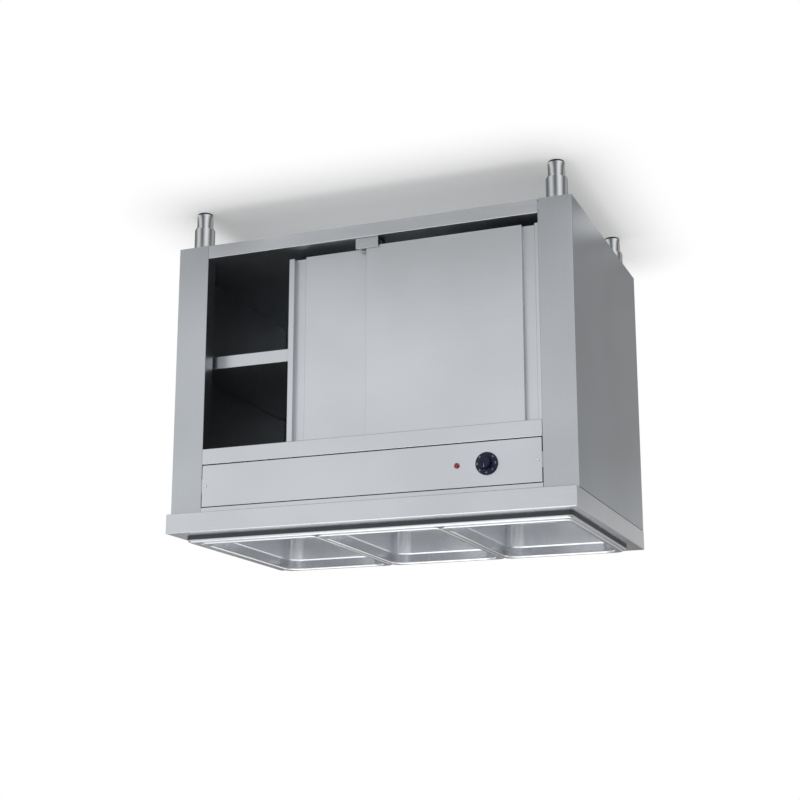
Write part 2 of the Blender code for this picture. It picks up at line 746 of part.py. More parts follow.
def make_side_panels():
    """Outer side, front post and rear return are one sheet, with flanges turned in at the top and bottom."""
    line = (
        (LEFT + SIDE_REAR_RETURN, CABINET_BACK),
        (LEFT, CABINET_BACK),
        (LEFT, CABINET_FRONT),
        (-POST_EDGE, CABINET_FRONT),
        (-POST_EDGE, CABINET_FRONT + POST_RETURN),
    )
    outline = folded(line, CABINET_SHEET)
    middle_of_sheet = RIGHT - CABINET_SHEET / 2
    for side, name in ((-1, "side_panel_left"), (1, "side_panel_right")):
        profile = outline if side < 0 else mirrored(outline)
        panel = prism(name, profile, "Z", CABINET_BOTTOM, CABINET_TOP, "satin_steel")
        edges = sorted((side * middle_of_sheet, side * (RIGHT - SIDE_FLANGE)))
        for place, low in (("top", CABINET_TOP - CABINET_SHEET), ("bottom", CABINET_BOTTOM)):
            flange = block(f"{name}_{place}_flange", (edges[0], CABINET_FRONT + SIDE_FLANGE_SETBACK, low),
                           (edges[1], CABINET_BACK - SIDE_FLANGE_SETBACK, low + CABINET_SHEET))
            join(panel, flange)
        edges = sorted((side * (POST_EDGE + CABINET_SHEET / 2), side * (POST_EDGE - TAB_WIDTH)))
        tab = block(f"{name}_tab", (edges[0], CONTROL_BACK + GAP, CONTROL_Z - TAB_HEIGHT / 2),
                    (edges[1], CONTROL_BACK + GAP + CABINET_SHEET, CONTROL_Z + TAB_HEIGHT / 2))
        join(panel, tab)
        cut(panel, screw_hole(f"{name}_screw_hole", side))


def screw_x(side):
    return side * (POST_EDGE - SCREW_INSET)


def screw_hole(name, side):
    """A hole for a panel screw, through the control panel and the tab behind it."""
    return rod(name, SCREW_SHANK + GAP, "Y", (screw_x(side), 0, CONTROL_Z), CABINET_FRONT - OVERRUN,
               CONTROL_BACK + GAP + CABINET_SHEET + OVERRUN, steps=SCREW_STEPS)


def make_back_panel():
    """A tray set into the back, open to the rear."""
    edge = SIDE_INNER - GAP
    rear = CABINET_BACK - CABINET_SHEET - GAP
    line = ((-edge, rear), (-edge, BACK_PANEL_FRONT), (edge, BACK_PANEL_FRONT), (edge, rear))
    panel = prism("back_panel", folded(line, CABINET_SHEET), "Z", CABINET_BOTTOM, CABINET_TOP, "satin_steel")
    hole = rod("gland_hole", GLAND_SHANK + GAP, "Y", (GLAND_X, 0, GLAND_Z),
               BACK_PANEL_FRONT - OVERRUN, BACK_PANEL_FRONT + CABINET_SHEET + OVERRUN)
    cut(panel, hole)


def make_front_rails():
    """Folded rails that close the front above and below the control panel, from post to post."""
    reach = POST_EDGE - GAP
    top_line = (
        (CABINET_FRONT + TOP_RAIL_DEPTH, CABINET_TOP - TOP_RAIL_HEM),
        (CABINET_FRONT + TOP_RAIL_DEPTH, CABINET_TOP),
        (CABINET_FRONT, CABINET_TOP),
        (CABINET_FRONT, TOP_RAIL_BOTTOM),
    )
    prism("front_top_rail", folded(top_line, CABINET_SHEET), "X", -reach, reach, "brushed_steel")
    middle_line = (
        (CABINET_FRONT + MIDDLE_RAIL_FLANGE, MIDDLE_RAIL_TOP),
        (CABINET_FRONT, MIDDLE_RAIL_TOP),
        (CABINET_FRONT, MIDDLE_RAIL_BOTTOM),
        (CABINET_FRONT + MIDDLE_RAIL_RETURN, MIDDLE_RAIL_BOTTOM),
    )
    prism("middle_rail", folded(middle_line, CABINET_SHEET), "X", -reach, reach, "brushed_steel")


def make_control_panel():
    """A removable front with its top and bottom edges folded back."""
    reach = POST_EDGE - CONTROL_REVEAL
    line = (
        (CABINET_FRONT + CONTROL_RETURN, CONTROL_TOP),
        (CABINET_FRONT, CONTROL_TOP),
        (CABINET_FRONT, CONTROL_BOTTOM),
        (CABINET_FRONT + CONTROL_RETURN, CONTROL_BOTTOM),
    )
    panel = prism("control_panel", folded(line, CABINET_SHEET), "X", -reach, reach, "brushed_steel")
    holes = (("spindle_hole", KNOB_X, SPINDLE_HOLE), ("lamp_hole", LAMP_X, LAMP_BODY_RADIUS + GAP))
    for name, x, radius in holes:
        hole = rod(name, radius, "Y", (x, 0, CONTROL_Z), CABINET_FRONT - OVERRUN, CONTROL_BACK + OVERRUN,
                   steps=SMALL_STEPS, start_share=CROSSING_SHARE)
        cut(panel, hole)
    for side, place in ((-1, "left"), (1, "right")):
        cut(panel, screw_hole(f"panel_screw_hole_{place}", side))
        seat = CABINET_FRONT - GAP
        profile = (
            (0, seat + SCREW_LENGTH),
            (SCREW_SHANK, seat + SCREW_LENGTH),
            (SCREW_SHANK, seat),
            (SCREW_HEAD_RADIUS, seat),
            (SCREW_HEAD_RADIUS, seat - SCREW_HEAD / 2),
            (SCREW_HEAD_RADIUS / 2, seat - SCREW_HEAD),
            (0, seat - SCREW_HEAD),
        )
        centre = (screw_x(side), 0, CONTROL_Z)
        turned(f"panel_screw_{place}", profile, "Y", centre, "polished_steel", SCREW_STEPS)


def fluted(radius, angle):
    """The grip of the knob has shallow flutes, and its skirt and bore are plain."""
    if radius <= SPINDLE_RADIUS + GAP or radius > KNOB_GRIP_RADIUS:
        return radius
    return radius - KNOB_FLUTE * (1 - math.cos(KNOB_FLUTES * angle)) / 2


def make_thermostat():
    """Knob, spindle, body behind the panel, and the bulb that its capillary joins to it."""
    centre = (KNOB_X, 0, CONTROL_Z)
    base = CABINET_FRONT - KNOB_OFF_PANEL
    front = base - KNOB_DEPTH
    bore = SPINDLE_RADIUS + GAP
    profile = (
        (0, base - KNOB_BORE_DEPTH),
        (bore, base - KNOB_BORE_DEPTH),
        (bore, base),
        (KNOB_RADIUS, base),
        (KNOB_RADIUS - KNOB_SKIRT_TAPER, base - KNOB_SKIRT),
        (KNOB_GRIP_RADIUS, base - KNOB_SKIRT - KNOB_EDGE / 2),
        (KNOB_GRIP_RADIUS - KNOB_GRIP_TAPER, front + KNOB_EDGE),
        (KNOB_GRIP_RADIUS - KNOB_GRIP_TAPER - KNOB_EDGE, front),
        (0, front),
    )
    steps = KNOB_FLUTES * KNOB_FLUTE_STEPS
    knob = turned("thermostat_knob", profile, "Y", centre, "black_plastic", steps, fluted)
    set_origin(knob, (KNOB_X, base, CONTROL_Z))

    body_front = CONTROL_BACK + GAP
    body_back = body_front + THERMOSTAT_DEPTH
    bore_end = body_front + THERMOSTAT_BORE_DEPTH
    spindle = rod("thermostat_spindle", SPINDLE_RADIUS, "Y", centre, base - KNOB_BORE_DEPTH + GAP,
                  bore_end - GAP, "zinc_plate", SMALL_STEPS)
    set_origin(spindle, (KNOB_X, base, CONTROL_Z))
    carry([spindle], knob)

    half = THERMOSTAT_SIZE / 2
    outline = [point[:2] for point in ring((KNOB_X - half, KNOB_X + half, CONTROL_Z - half, CONTROL_Z + half),
                                           THERMOSTAT_CORNER, 0, 1)]
    body = prism("thermostat_body", outline, "Y", body_front, body_back, "grey_plastic")
    cut(body, rod("thermostat_bore", bore, "Y", centre, body_front - OVERRUN, bore_end, steps=SMALL_STEPS))

    tank_front = tank_box()[2] - CABINET_SHEET
    bulb_y = tank_front - GAP - BULB_RADIUS
    bulb_z = TANK_FLOOR + BULB_RISE
    bulb_start = KNOB_X + half + CAPILLARY_RUN
    route = (
        (KNOB_X, body_back + GAP, CONTROL_Z - CAPILLARY_DROP),
        (KNOB_X, bulb_y, CONTROL_Z - CAPILLARY_DROP),
        (KNOB_X, bulb_y, bulb_z),
        (bulb_start, bulb_y, bulb_z),
    )
    points = filleted(route, CAPILLARY_BEND, FOLD_STEPS)
    radii = [CAPILLARY_RADIUS] * len(points)
    along = Vector((1, 0, 0))
    for distance, radius in (
        (2 * BULB_RADIUS, BULB_RADIUS),
        (BULB_LENGTH - BULB_RADIUS, BULB_RADIUS),
        (BULB_LENGTH, BULB_RADIUS / 2),
    ):
        points.append(Vector(route[-1]) + along * distance)
        radii.append(radius)
    swept("thermostat_bulb", points, radii, ELEMENT_SIDES, "brass")


def make_pilot_lamp():
    """A red lens on a body that a nut holds in the panel."""
    centre = (LAMP_X, 0, CONTROL_Z)
    seat = CABINET_FRONT - GAP
    rim = seat - LENS_FLANGE
    angles = [math.pi / 2 * step / LENS_DOME_STEPS for step in range(LENS_DOME_STEPS)]
    dome = [(LENS_RADIUS * math.cos(angle), rim - LENS_DOME * math.sin(angle)) for angle in angles]
    profile = [
        (0, seat + LENS_STEM),
        (LENS_STEM_RADIUS, seat + LENS_STEM),
        (LENS_STEM_RADIUS, seat),
        (LENS_RADIUS, seat),
        *dome,
        (0, rim - LENS_DOME),
    ]
    turned("pilot_lamp_lens", profile, "Y", centre, "red_lens", SMALL_STEPS)

    front = CABINET_FRONT
    back = front + LAMP_BODY_LENGTH
    bore = LENS_STEM_RADIUS + GAP
    bore_end = seat + LENS_STEM + GAP
    nut = CONTROL_BACK + GAP
    profile = (
        (0, bore_end),
        (bore, bore_end),
        (bore, front),
        (LAMP_BODY_RADIUS, front),
        (LAMP_BODY_RADIUS, nut),
        (LAMP_NUT_RADIUS, nut),
        (LAMP_NUT_RADIUS, nut + LAMP_NUT),
        (LAMP_BODY_RADIUS, nut + LAMP_NUT),
        (LAMP_BODY_RADIUS, back),
        (0, back),
    )
    turned("pilot_lamp_body", profile, "Y", centre, "grey_plastic", SMALL_STEPS)


def make_terminal_block():
    """A row of poles with a notch between each two, on the front of the tank."""
    back = tank_box()[2] - CABINET_SHEET - GAP
    bottom = CONTROL_Z - BLOCK_HEIGHT / 2
    top = CONTROL_Z + BLOCK_HEIGHT / 2
    width = BLOCK_POLES * BLOCK_PITCH
    outline = [(BLOCK_X, bottom), (BLOCK_X + width, bottom), (BLOCK_X + width, top)]
    for pole in range(BLOCK_POLES - 1, 0, -1):
        middle = BLOCK_X + pole * BLOCK_PITCH
        right = middle + BLOCK_NOTCH / 2
        left = middle - BLOCK_NOTCH / 2
        low = top - BLOCK_NOTCH_DEPTH
        outline.extend([(right, top), (right, low), (left, low), (left, top)])
    outline.append((BLOCK_X, top))
    prism("terminal_block", outline, "Y", back - BLOCK_DEPTH, back, "grey_plastic")


def make_cable_gland():
    """The gland for the supply cable, through the back panel."""
    inside = BACK_PANEL_FRONT - GLAND_INSIDE
    outer = BACK_PANEL_FRONT + CABINET_SHEET + GAP
    profile = (
        (GLAND_BORE, inside),
        (GLAND_SHANK, inside),
        (GLAND_SHANK, outer),
        (GLAND_FLANGE_RADIUS, outer),
        (GLAND_FLANGE_RADIUS, outer + GLAND_FLANGE),
        (GLAND_NOSE_RADIUS, outer + GLAND_FLANGE),
        (GLAND_TIP_RADIUS, outer + GLAND_FLANGE + GLAND_NOSE),
        (GLAND_BORE, outer + GLAND_FLANGE + GLAND_NOSE),
    )
    turned("cable_gland", profile, "Y", (GLAND_X, 0, GLAND_Z), "black_plastic", SMALL_STEPS)


def make_shelves():
    """Bottom shelf with its front folded into the bottom rail, and a shelf on two brackets above it."""
    reach = SIDE_INNER - GAP
    line = (
        (SHELF_BACK, SHELF_TOP + SHELF_UPSTAND),
        (SHELF_BACK, SHELF_TOP),
        (CABINET_FRONT, SHELF_TOP),
        (CABINET_FRONT, CABINET_BOTTOM),
        (CABINET_FRONT + BOTTOM_RAIL_RETURN, CABINET_BOTTOM),
    )
    shelf = prism("bottom_shelf", folded(line, CABINET_SHEET), "X", -reach, reach, "brushed_steel")
    for side, place in ((-1, "left"), (1, "right")):
        edges = sorted((side * (POST_EDGE - GAP), side * (reach + OVERRUN)))
        front = CABINET_FRONT - OVERRUN
        behind_post = CABINET_FRONT + POST_RETURN + GAP
        notch = block(f"post_notch_{place}", (edges[0], front, CABINET_BOTTOM - OVERRUN),
                      (edges[1], behind_post, SHELF_TOP + OVERRUN))
        cut(shelf, notch)
        low = CABINET_BOTTOM - OVERRUN
        hem = block(f"hem_notch_{place}", (edges[0], front, low),
                    (edges[1], CABINET_FRONT + BOTTOM_RAIL_RETURN + OVERRUN, CHANNEL_TOP - CHANNEL_SHEET))
        cut(shelf, hem)

    front = CABINET_FRONT + MID_SHELF_SETBACK
    reach = SIDE_INNER - SHELF_SIDE_PLAY
    lip_bottom = MID_SHELF_TOP - MID_SHELF_LIP
    line = (
        (SHELF_BACK, MID_SHELF_TOP + SHELF_UPSTAND),
        (SHELF_BACK, MID_SHELF_TOP),
        (front, MID_SHELF_TOP),
        (front, lip_bottom),
        (front + MID_SHELF_HEM, lip_bottom),
    )
    prism("mid_shelf", folded(line, CABINET_SHEET), "X", -reach, reach, "brushed_steel")

    top = MID_SHELF_TOP - CABINET_SHEET - GAP
    outer = SIDE_INNER - GAP
    line = ((-outer, top - BRACKET_HEIGHT), (-outer, top), (-outer + BRACKET_WIDTH, top))
    outline = [(across, height) for across, height in folded(line[::-1], CABINET_SHEET)]
    for side, place in ((-1, "left"), (1, "right")):
        prism(f"shelf_bracket_{place}", outline if side < 0 else mirrored(outline), "Y",
              front + BRACKET_FRONT_SETBACK, SHELF_BACK - SHELF_UPSTAND, "satin_steel")


def make_door_stops():
    """An angle behind each post that the doors close against."""
    face = DOOR_REACH + GAP
    front = CONTROL_BACK + GAP
    line = ((-face, front + STOP_DEPTH), (-face, front), (-face - STOP_LEG, front))
    outline = folded(line[::-1], CABINET_SHEET)
    for side, place in ((-1, "left"), (1, "right")):
        prism(f"door_stop_{place}", outline if side < 0 else mirrored(outline), "Z",
              SHELF_TOP + GAP, LIP_BOTTOM - GAP, "satin_steel")


def leg_places():
    """The four legs, as name, x and y."""
    x = RIGHT - LEG_SIDE_INSET
    front = CABINET_FRONT + LEG_FRONT_INSET
    back = CABINET_BACK - LEG_REAR_INSET
    fronts = (("front_left", -x, front), ("front_right", x, front))
    return fronts + (("rear_left", -x, back), ("rear_right", x, back))


def make_base():
    """A channel under each end of the shelf, leg tubes welded into the channels, and feet in the tubes."""
    half = LEG_RADIUS + GAP + CHANNEL_SHEET
    bottom = CHANNEL_TOP - CHANNEL_HEIGHT
    for side, place in ((-1, "left"), (1, "right")):
        middle = side * (RIGHT - LEG_SIDE_INSET)
        line = ((middle + half, bottom), (middle + half, CHANNEL_TOP), (middle - half, CHANNEL_TOP),
                (middle - half, bottom))
        prism(f"base_channel_{place}", folded(line, CHANNEL_SHEET), "Y", CONTROL_BACK + GAP,
              BACK_PANEL_FRONT - GAP, "zinc_plate")

    top = CHANNEL_TOP - CHANNEL_SHEET - GAP
    cone_top = LEG_BOTTOM + LEG_CONE_HEIGHT
    inner = LEG_RADIUS - LEG_WALL
    bore = FOOT_RADIUS + GAP
    tube_profile = (
        (inner, top),
        (LEG_RADIUS, top),
        (LEG_RADIUS, cone_top),
        (bore + LEG_TIP_WIDTH, LEG_BOTTOM),
        (bore, LEG_BOTTOM),
        (bore, LEG_BOTTOM + LEG_RING_HEIGHT),
        (inner, LEG_BOTTOM + LEG_RING_HEIGHT),
    )
    cup = FOOT_RADIUS - FOOT_WALL
    collar = inner - GAP
    foot_profile = (
        (0, FOOT_FLOOR),
        (cup, FOOT_FLOOR),
        (cup, FOOT_TOP),
        (collar, FOOT_TOP),
        (collar, FOOT_TOP - FOOT_COLLAR_HEIGHT),
        (FOOT_RADIUS, FOOT_TOP - FOOT_COLLAR_HEIGHT),
        (FOOT_RADIUS, FOOT_CHAMFER),
        (FOOT_RADIUS - FOOT_CHAMFER, 0),
        (0, 0),
    )
    for place, x, y in leg_places():
        turned(f"leg_tube_{place}", tube_profile, "Z", (x, y, 0), "brushed_steel")
        foot = turned(f"foot_{place}", foot_profile, "Z", (x, y, 0), "grey_plastic")
        set_origin(foot, (x, y, LEG_BOTTOM))


def channel_y(door):
    """Front face of a door, which its channel of the track and the guide follow."""
    return DOOR_FRONT + door * DOOR_PITCH


def make_track():
    """One profile with a channel and a lip for each door, under the middle rail."""
    plate_bottom = TRACK_TOP - TRACK_SHEET
    back = CABINET_FRONT + MIDDLE_RAIL_FLANGE
    outline = [(back, plate_bottom), (back, TRACK_TOP), (channel_y(0) - TRACK_WEB_OFFSET, TRACK_TOP)]
    for door in range(2):
        web = channel_y(door) - TRACK_WEB_OFFSET
        lip_end = web + TRACK_SHEET + ROLLER_PLAY + ROLLER_WIDTH + TRACK_LIP_EXTRA
        if door:
            outline.append((web, plate_bottom))
        outline.extend([
            (web, LIP_BOTTOM),
            (lip_end, LIP_BOTTOM),
            (lip_end, LIP_TOP),
            (web + TRACK_SHEET, LIP_TOP),
            (web + TRACK_SHEET, plate_bottom),
        ])
    reach = SIDE_INNER - GAP
    prism("door_track", outline, "X", -reach, reach, "zinc_plate")


def make_guide():
    """A comb on the bottom shelf that keeps the doors upright where they pass."""
    base = SHELF_TOP + GAP
    top = base + GUIDE_TOP
    floor = base + GUIDE_BASE
    front = channel_y(0) - GUIDE_PLAY
    outline = [(front - GUIDE_LIP, base), (front - GUIDE_LIP, top), (front, top)]
    for door in range(2):
        near = channel_y(door) - GUIDE_PLAY
        far = channel_y(door) + DOOR_THICKNESS + GUIDE_PLAY
        if door:
            outline.append((near, top))
        outline.extend([(near, floor), (far, floor), (far, top)])
    end = channel_y(1) + DOOR_THICKNESS + GUIDE_PLAY + GUIDE_LIP
    outline.extend([(end, top), (end, base)])
    prism("door_guide", outline, "X", -GUIDE_LENGTH / 2, GUIDE_LENGTH / 2, "aluminium")


def make_door(door, name, left):
    """A hollow sliding door: front with a finger channel, liner behind it, two hangers and their rollers."""
    right = left + DOOR_WIDTH
    front = channel_y(door)
    back = front + DOOR_THICKNESS
    bed = front + PULL_DEPTH
    pull = (left + PULL_EDGE, left + PULL_EDGE + PULL_WIDTH)
    if door:
        pull = (right - PULL_EDGE - PULL_WIDTH, right - PULL_EDGE)
    line = (
        (left, back),
        (left, front),
        (pull[0], front),
        (pull[0], bed),
        (pull[1], bed),
        (pull[1], front),
        (right, front),
        (right, back),
    )
    middle = (left + right) / 2
    origin = (middle, front + DOOR_THICKNESS / 2, DOOR_BOTTOM)
    panel = prism(f"{name}_panel", folded(line, DOOR_SHEET), "Z", DOOR_BOTTOM, DOOR_TOP, "brushed_steel")
    set_origin(panel, origin)

    inside = DOOR_SHEET + GAP
    line = (
        (front + inside, DOOR_BOTTOM),
        (back, DOOR_BOTTOM),
        (back, DOOR_TOP),
        (front + inside, DOOR_TOP),
    )
    outline = folded(line, DOOR_SHEET)
    liner = prism(f"{name}_liner", outline, "X", left + inside, right - inside, "brushed_steel")
    notch = block(f"{name}_liner_notch", (pull[0] - inside, front - OVERRUN, DOOR_BOTTOM - OVERRUN),
                  (pull[1] + inside, bed + inside, DOOR_TOP + OVERRUN))
    cut(liner, notch)
    set_origin(liner, origin)
    carry([liner, notch], panel)

    web = front - TRACK_WEB_OFFSET
    roller_front = web + TRACK_SHEET + ROLLER_PLAY
    roller_back = roller_front + ROLLER_WIDTH
    plate_front = roller_back + HANGER_OFFSET
    foot_bottom = DOOR_TOP + GAP
    line = (
        (plate_front, ROLLER_Z + HANGER_RISE),
        (plate_front, foot_bottom),
        (plate_front + HANGER_FOOT, foot_bottom),
    )
    hanger_outline = folded(line, HANGER_SHEET)
    axle_profile = (
        (0, plate_front + HANGER_SHEET / 2),
        (AXLE_COLLAR, plate_front + HANGER_SHEET / 2),
        (AXLE_COLLAR, roller_back + GAP),
        (AXLE_RADIUS, roller_back + GAP),
        (AXLE_RADIUS, roller_front - AXLE_END),
        (0, roller_front - AXLE_END),
    )
    bore = AXLE_RADIUS + GAP
    roller_profile = (
        (bore, roller_front),
        (ROLLER_RADIUS - ROLLER_CHAMFER, roller_front),
        (ROLLER_RADIUS, roller_front + ROLLER_CHAMFER),
        (ROLLER_RADIUS, roller_back - ROLLER_CHAMFER),
        (ROLLER_RADIUS - ROLLER_CHAMFER, roller_back),
        (bore, roller_back),
    )
    for place, x in (("left", left + HANGER_INSET), ("right", right - HANGER_INSET)):
        hanger = prism(f"{name}_hanger_{place}", hanger_outline, "X", x - HANGER_WIDTH / 2,
                       x + HANGER_WIDTH / 2, "zinc_plate")
        centre = (x, 0, ROLLER_Z)
        axle = turned(f"{name}_axle_{place}", axle_profile, "Y", centre, steps=SMALL_STEPS)
        join(hanger, axle)
        hub = (x, plate_front, ROLLER_Z)
        set_origin(hanger, hub)
        roller = turned(f"{name}_roller_{place}", roller_profile, "Y", centre, "white_nylon", ROLLER_STEPS)
        set_origin(roller, hub)
        carry([hanger, axle, roller], panel)


def make_drain():
    """A plug cock: body, turning plug with a cross bore, and the lever on its stem."""
    centre = (DRAIN_X, DRAIN_Y, 0)
    floor_under = TANK_FLOOR - CABINET_SHEET
    profile = (
        (0, TANK_FLOOR + DRAIN_NECK_RISE),
        (DRAIN_NECK, TANK_FLOOR + DRAIN_NECK_RISE),
        (DRAIN_NECK, floor_under - GAP),
        (DRAIN_NUT_RADIUS, floor_under - GAP),
        (DRAIN_NUT_RADIUS, floor_under - GAP - DRAIN_NUT),
        (DRAIN_PIPE, floor_under - GAP - DRAIN_NUT),
        (DRAIN_PIPE, DRAIN_Z),
        (DRAIN_OUTLET_RADIUS, DRAIN_Z),
        (DRAIN_OUTLET_RADIUS, DRAIN_Z - DRAIN_OUTLET),
        (0, DRAIN_Z - DRAIN_OUTLET),
    )
    body = turned("drain_valve_body", profile, "Z", centre, "brass", SMALL_STEPS)
    front = DRAIN_Y - BARREL_LENGTH / 2
    back = DRAIN_Y + BARREL_LENGTH / 2
    axis_point = (DRAIN_X, 0, DRAIN_Z)
    join(body, rod("drain_barrel", BARREL_RADIUS, "Y", axis_point, front, back, steps=SMALL_STEPS,
                   start_share=CROSSING_SHARE))
    cut(body, rod("drain_bore", DRAIN_BORE, "Z", centre, DRAIN_Z - DRAIN_OUTLET - OVERRUN,
                  TANK_FLOOR + DRAIN_NECK_RISE + OVERRUN, steps=SMALL_STEPS, start_share=CROSSING_SHARE))
    cut(body, rod("plug_bore", PLUG_RADIUS + GAP, "Y", axis_point, front - OVERRUN, back - BARREL_BACK,
                  steps=SMALL_STEPS))

    shoulder_front = front - STEM_SHOULDER
    plug_profile = (
        (0, back - BARREL_BACK - GAP),
        (PLUG_RADIUS, back - BARREL_BACK - GAP),
        (PLUG_RADIUS, front),
        (STEM_SHOULDER_RADIUS, front),
        (STEM_SHOULDER_RADIUS, shoulder_front),
        (STEM_RADIUS, shoulder_front),
        (STEM_RADIUS, shoulder_front - STEM_LENGTH),
        (0, shoulder_front - STEM_LENGTH),
    )
    plug = turned("drain_valve_plug", plug_profile, "Y", axis_point, "brass", SMALL_STEPS)
    cross = rod("plug_cross_bore", DRAIN_BORE, "X", (0, DRAIN_Y, DRAIN_Z), DRAIN_X - BARREL_RADIUS,
                DRAIN_X + BARREL_RADIUS, steps=SMALL_STEPS, start_share=CROSSING_SHARE)
    cut(plug, cross)

    lever_back = shoulder_front - GAP
    lever_front = lever_back - LEVER_THICKNESS
    tip = DRAIN_X + LEVER_LENGTH
    half = LEVER_WIDTH / 2
    lever = rod("drain_valve_lever", LEVER_EYE, "Y", axis_point, lever_front, lever_back, "zinc_plate",
                SMALL_STEPS)
    outline = [point[:2] for point in ring((DRAIN_X, tip, DRAIN_Z - half, DRAIN_Z + half), half, 0)]
    bar = prism("lever_bar", outline, "Y", lever_front, lever_back)
    join(lever, bar)
    eye = rod("lever_bore", STEM_RADIUS + GAP, "Y", axis_point, lever_front - OVERRUN, lever_back + OVERRUN,
              steps=SMALL_STEPS, start_share=CROSSING_SHARE)
    cut(lever, eye)
    pivot = (DRAIN_X, front, DRAIN_Z)
    for piece in (plug, lever):
        set_origin(piece, pivot)
    carry([lever], plug)


def main():
    for old in list(bpy.data.objects):
        bpy.data.objects.remove(old)
    make_worktop()
    make_tank()
    make_bars()
    make_pans()
    make_element()
    make_side_panels()
    make_back_panel()
    make_front_rails()
    make_control_panel()
    make_thermostat()
    make_pilot_lamp()
    make_terminal_block()
    make_cable_gland()
    make_shelves()
    make_door_stops()
    make_base()
    make_track()
    make_guide()
    make_door(0, "front_door", -DOOR_REACH)
    make_door(1, "rear_door", DOOR_REACH - DOOR_WIDTH - REAR_DOOR_OPEN)
    make_drain()


main()
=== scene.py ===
"""Looks of a floor-standing bain marie: finishes, fine shapes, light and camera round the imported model.

Lengths are in metres, +Z is up, the front faces -Y and the origin is on the floor under the middle of the part.
"""

import json
import math

import bmesh
import bpy
import numpy as np
from bpy.props import FloatProperty, FloatVectorProperty, IntProperty, PointerProperty
from bpy.types import Operator, Panel, PropertyGroup
from mathutils import Matrix, Vector


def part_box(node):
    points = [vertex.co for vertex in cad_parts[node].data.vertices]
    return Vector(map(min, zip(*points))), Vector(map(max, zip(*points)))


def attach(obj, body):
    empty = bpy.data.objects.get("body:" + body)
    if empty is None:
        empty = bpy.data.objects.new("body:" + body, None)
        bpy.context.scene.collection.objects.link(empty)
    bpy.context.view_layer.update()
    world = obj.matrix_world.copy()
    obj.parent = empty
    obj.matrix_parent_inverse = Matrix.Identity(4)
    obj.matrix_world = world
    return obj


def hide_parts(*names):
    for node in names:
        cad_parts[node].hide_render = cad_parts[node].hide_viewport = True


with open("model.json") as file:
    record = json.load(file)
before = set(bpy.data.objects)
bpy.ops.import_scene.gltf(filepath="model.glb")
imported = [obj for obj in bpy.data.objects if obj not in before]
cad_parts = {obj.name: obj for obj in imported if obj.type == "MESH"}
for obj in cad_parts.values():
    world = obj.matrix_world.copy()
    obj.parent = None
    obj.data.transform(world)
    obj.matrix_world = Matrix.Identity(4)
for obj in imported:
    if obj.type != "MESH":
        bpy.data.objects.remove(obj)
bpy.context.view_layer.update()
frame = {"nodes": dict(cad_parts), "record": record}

bl_info = {
    "name": "Bain Marie",
    "version": (1, 0, 0),
    "blender": (4, 5, 0),
    "location": "3D View > Sidebar > Bain Marie",
    "description": "Dresses a three-pan bain marie in its steel, plastic and lamp finishes",
    "category": "Object",
}

MM = 0.001
QUARTER = math.pi / 2
BODY_OF = {node: body for body, nodes in frame["record"]["behaviour"]["bodies"].items() for node in nodes}
SLOT_OF = {entry["node"]: entry["material_slot"] for entry in frame["record"]["subparts"]}
CORNERS = ("front_left", "front_right", "rear_left", "rear_right")

# Fits, folds and the fineness of curves, with angles in degrees
GAP = 0.3 * MM
FOLD_BEND = 0.8 * MM
HOLD = 0.15 * MM
DOUBLES = 0.002 * MM
SMALLEST_CORNER = 0.8 * MM
CASE_SHEET = 1.2 * MM
DOOR_SHEET = 1.0 * MM
PAN_SHEET = 0.9 * MM
TOP_SHEET = 1.5 * MM
CHANNEL_SHEET = 1.5 * MM
PAN_FOLD_STEPS = 6
PROFILE_STEPS = 4
ROUTE_STEPS = 6
TUBE_SIDES = 20
SMALL_ROUND_STEPS = 48
KNOB_STEPS = 144
GLAND_STEPS = 72
DOME_STEPS = 12
WELD_STEPS = 24
SMOOTH_BELOW = 30
EASED_SMOOTH_BELOW = 25
BEVEL_ABOVE = 40
FLAT_WITHIN = 0.5
SHEET_EDGE = 0.25 * MM
FINE_EDGE = 0.2 * MM
GUIDE_EDGE = 0.4 * MM
SOFT_EDGE = 0.5 * MM

# Worktop
BAND_CORNER = 4 * MM
BAND_EDGE_BEND = 0.8 * MM
BAND_HEIGHT = 50 * MM
BAND_RETURN = 20 * MM
BAND_FRONT_RETURN = 38 * MM
RIM_HEIGHT = 15 * MM
RIM_SIDE = 28 * MM
RIM_FRONT = 61 * MM
RIM_BACK = 88 * MM
RIM_CORNER = 11 * MM
RIM_BEND = 1.5 * MM
RIM_TOP_BEND = 4.5 * MM
RIM_TO_PAN = 7 * MM
SEAL_HEIGHT = 8 * MM
SEAL_DEPTH = 1.5 * MM
SEAL_OVERLAP = 0.3 * MM
WELL_CORNER = 10 * MM
WELL_LIP = 12 * MM

# Pans
PAN_BEARING = 9.5 * MM
PAN_FLANGE = 12.5 * MM
PAN_EDGE = 4.2 * MM
PAN_FLANGE_CORNER = 16 * MM
PAN_BODY_CORNER = 42 * MM
PAN_DEPTH = 100 * MM
PAN_SHOULDER_DEPTH = 27 * MM
PAN_SHOULDER = 4.5 * MM
PAN_TAPER = 6 * MM
PAN_EDGE_BEND = 1.2 * MM
PAN_MOUTH_BEND = 3 * MM
PAN_FLOOR_BEND = 12 * MM

# Heater
HEATER_RADIUS = 4.25 * MM
HEATER_RUNS = 6
HEATER_BEND = 20 * MM
HEATER_MARGIN = 70 * MM
HEATER_RUN_START = 80 * MM
HEATER_LEAD = 20 * MM

# Case and shelves
PANEL_JOINT = 1.8 * MM
POST_RETURN = 6 * MM
REAR_RETURN = 20 * MM
SIDE_FLANGE = 19 * MM
FLANGE_SETBACK = 20 * MM
TAB_WIDTH = 26 * MM
TAB_HALF_HEIGHT = 19 * MM
TOP_RAIL_HEM = 8 * MM
MIDDLE_RAIL_RETURN = 8.5 * MM
SHELF_UPSTAND = 15 * MM
SHELF_HEM = 10 * MM

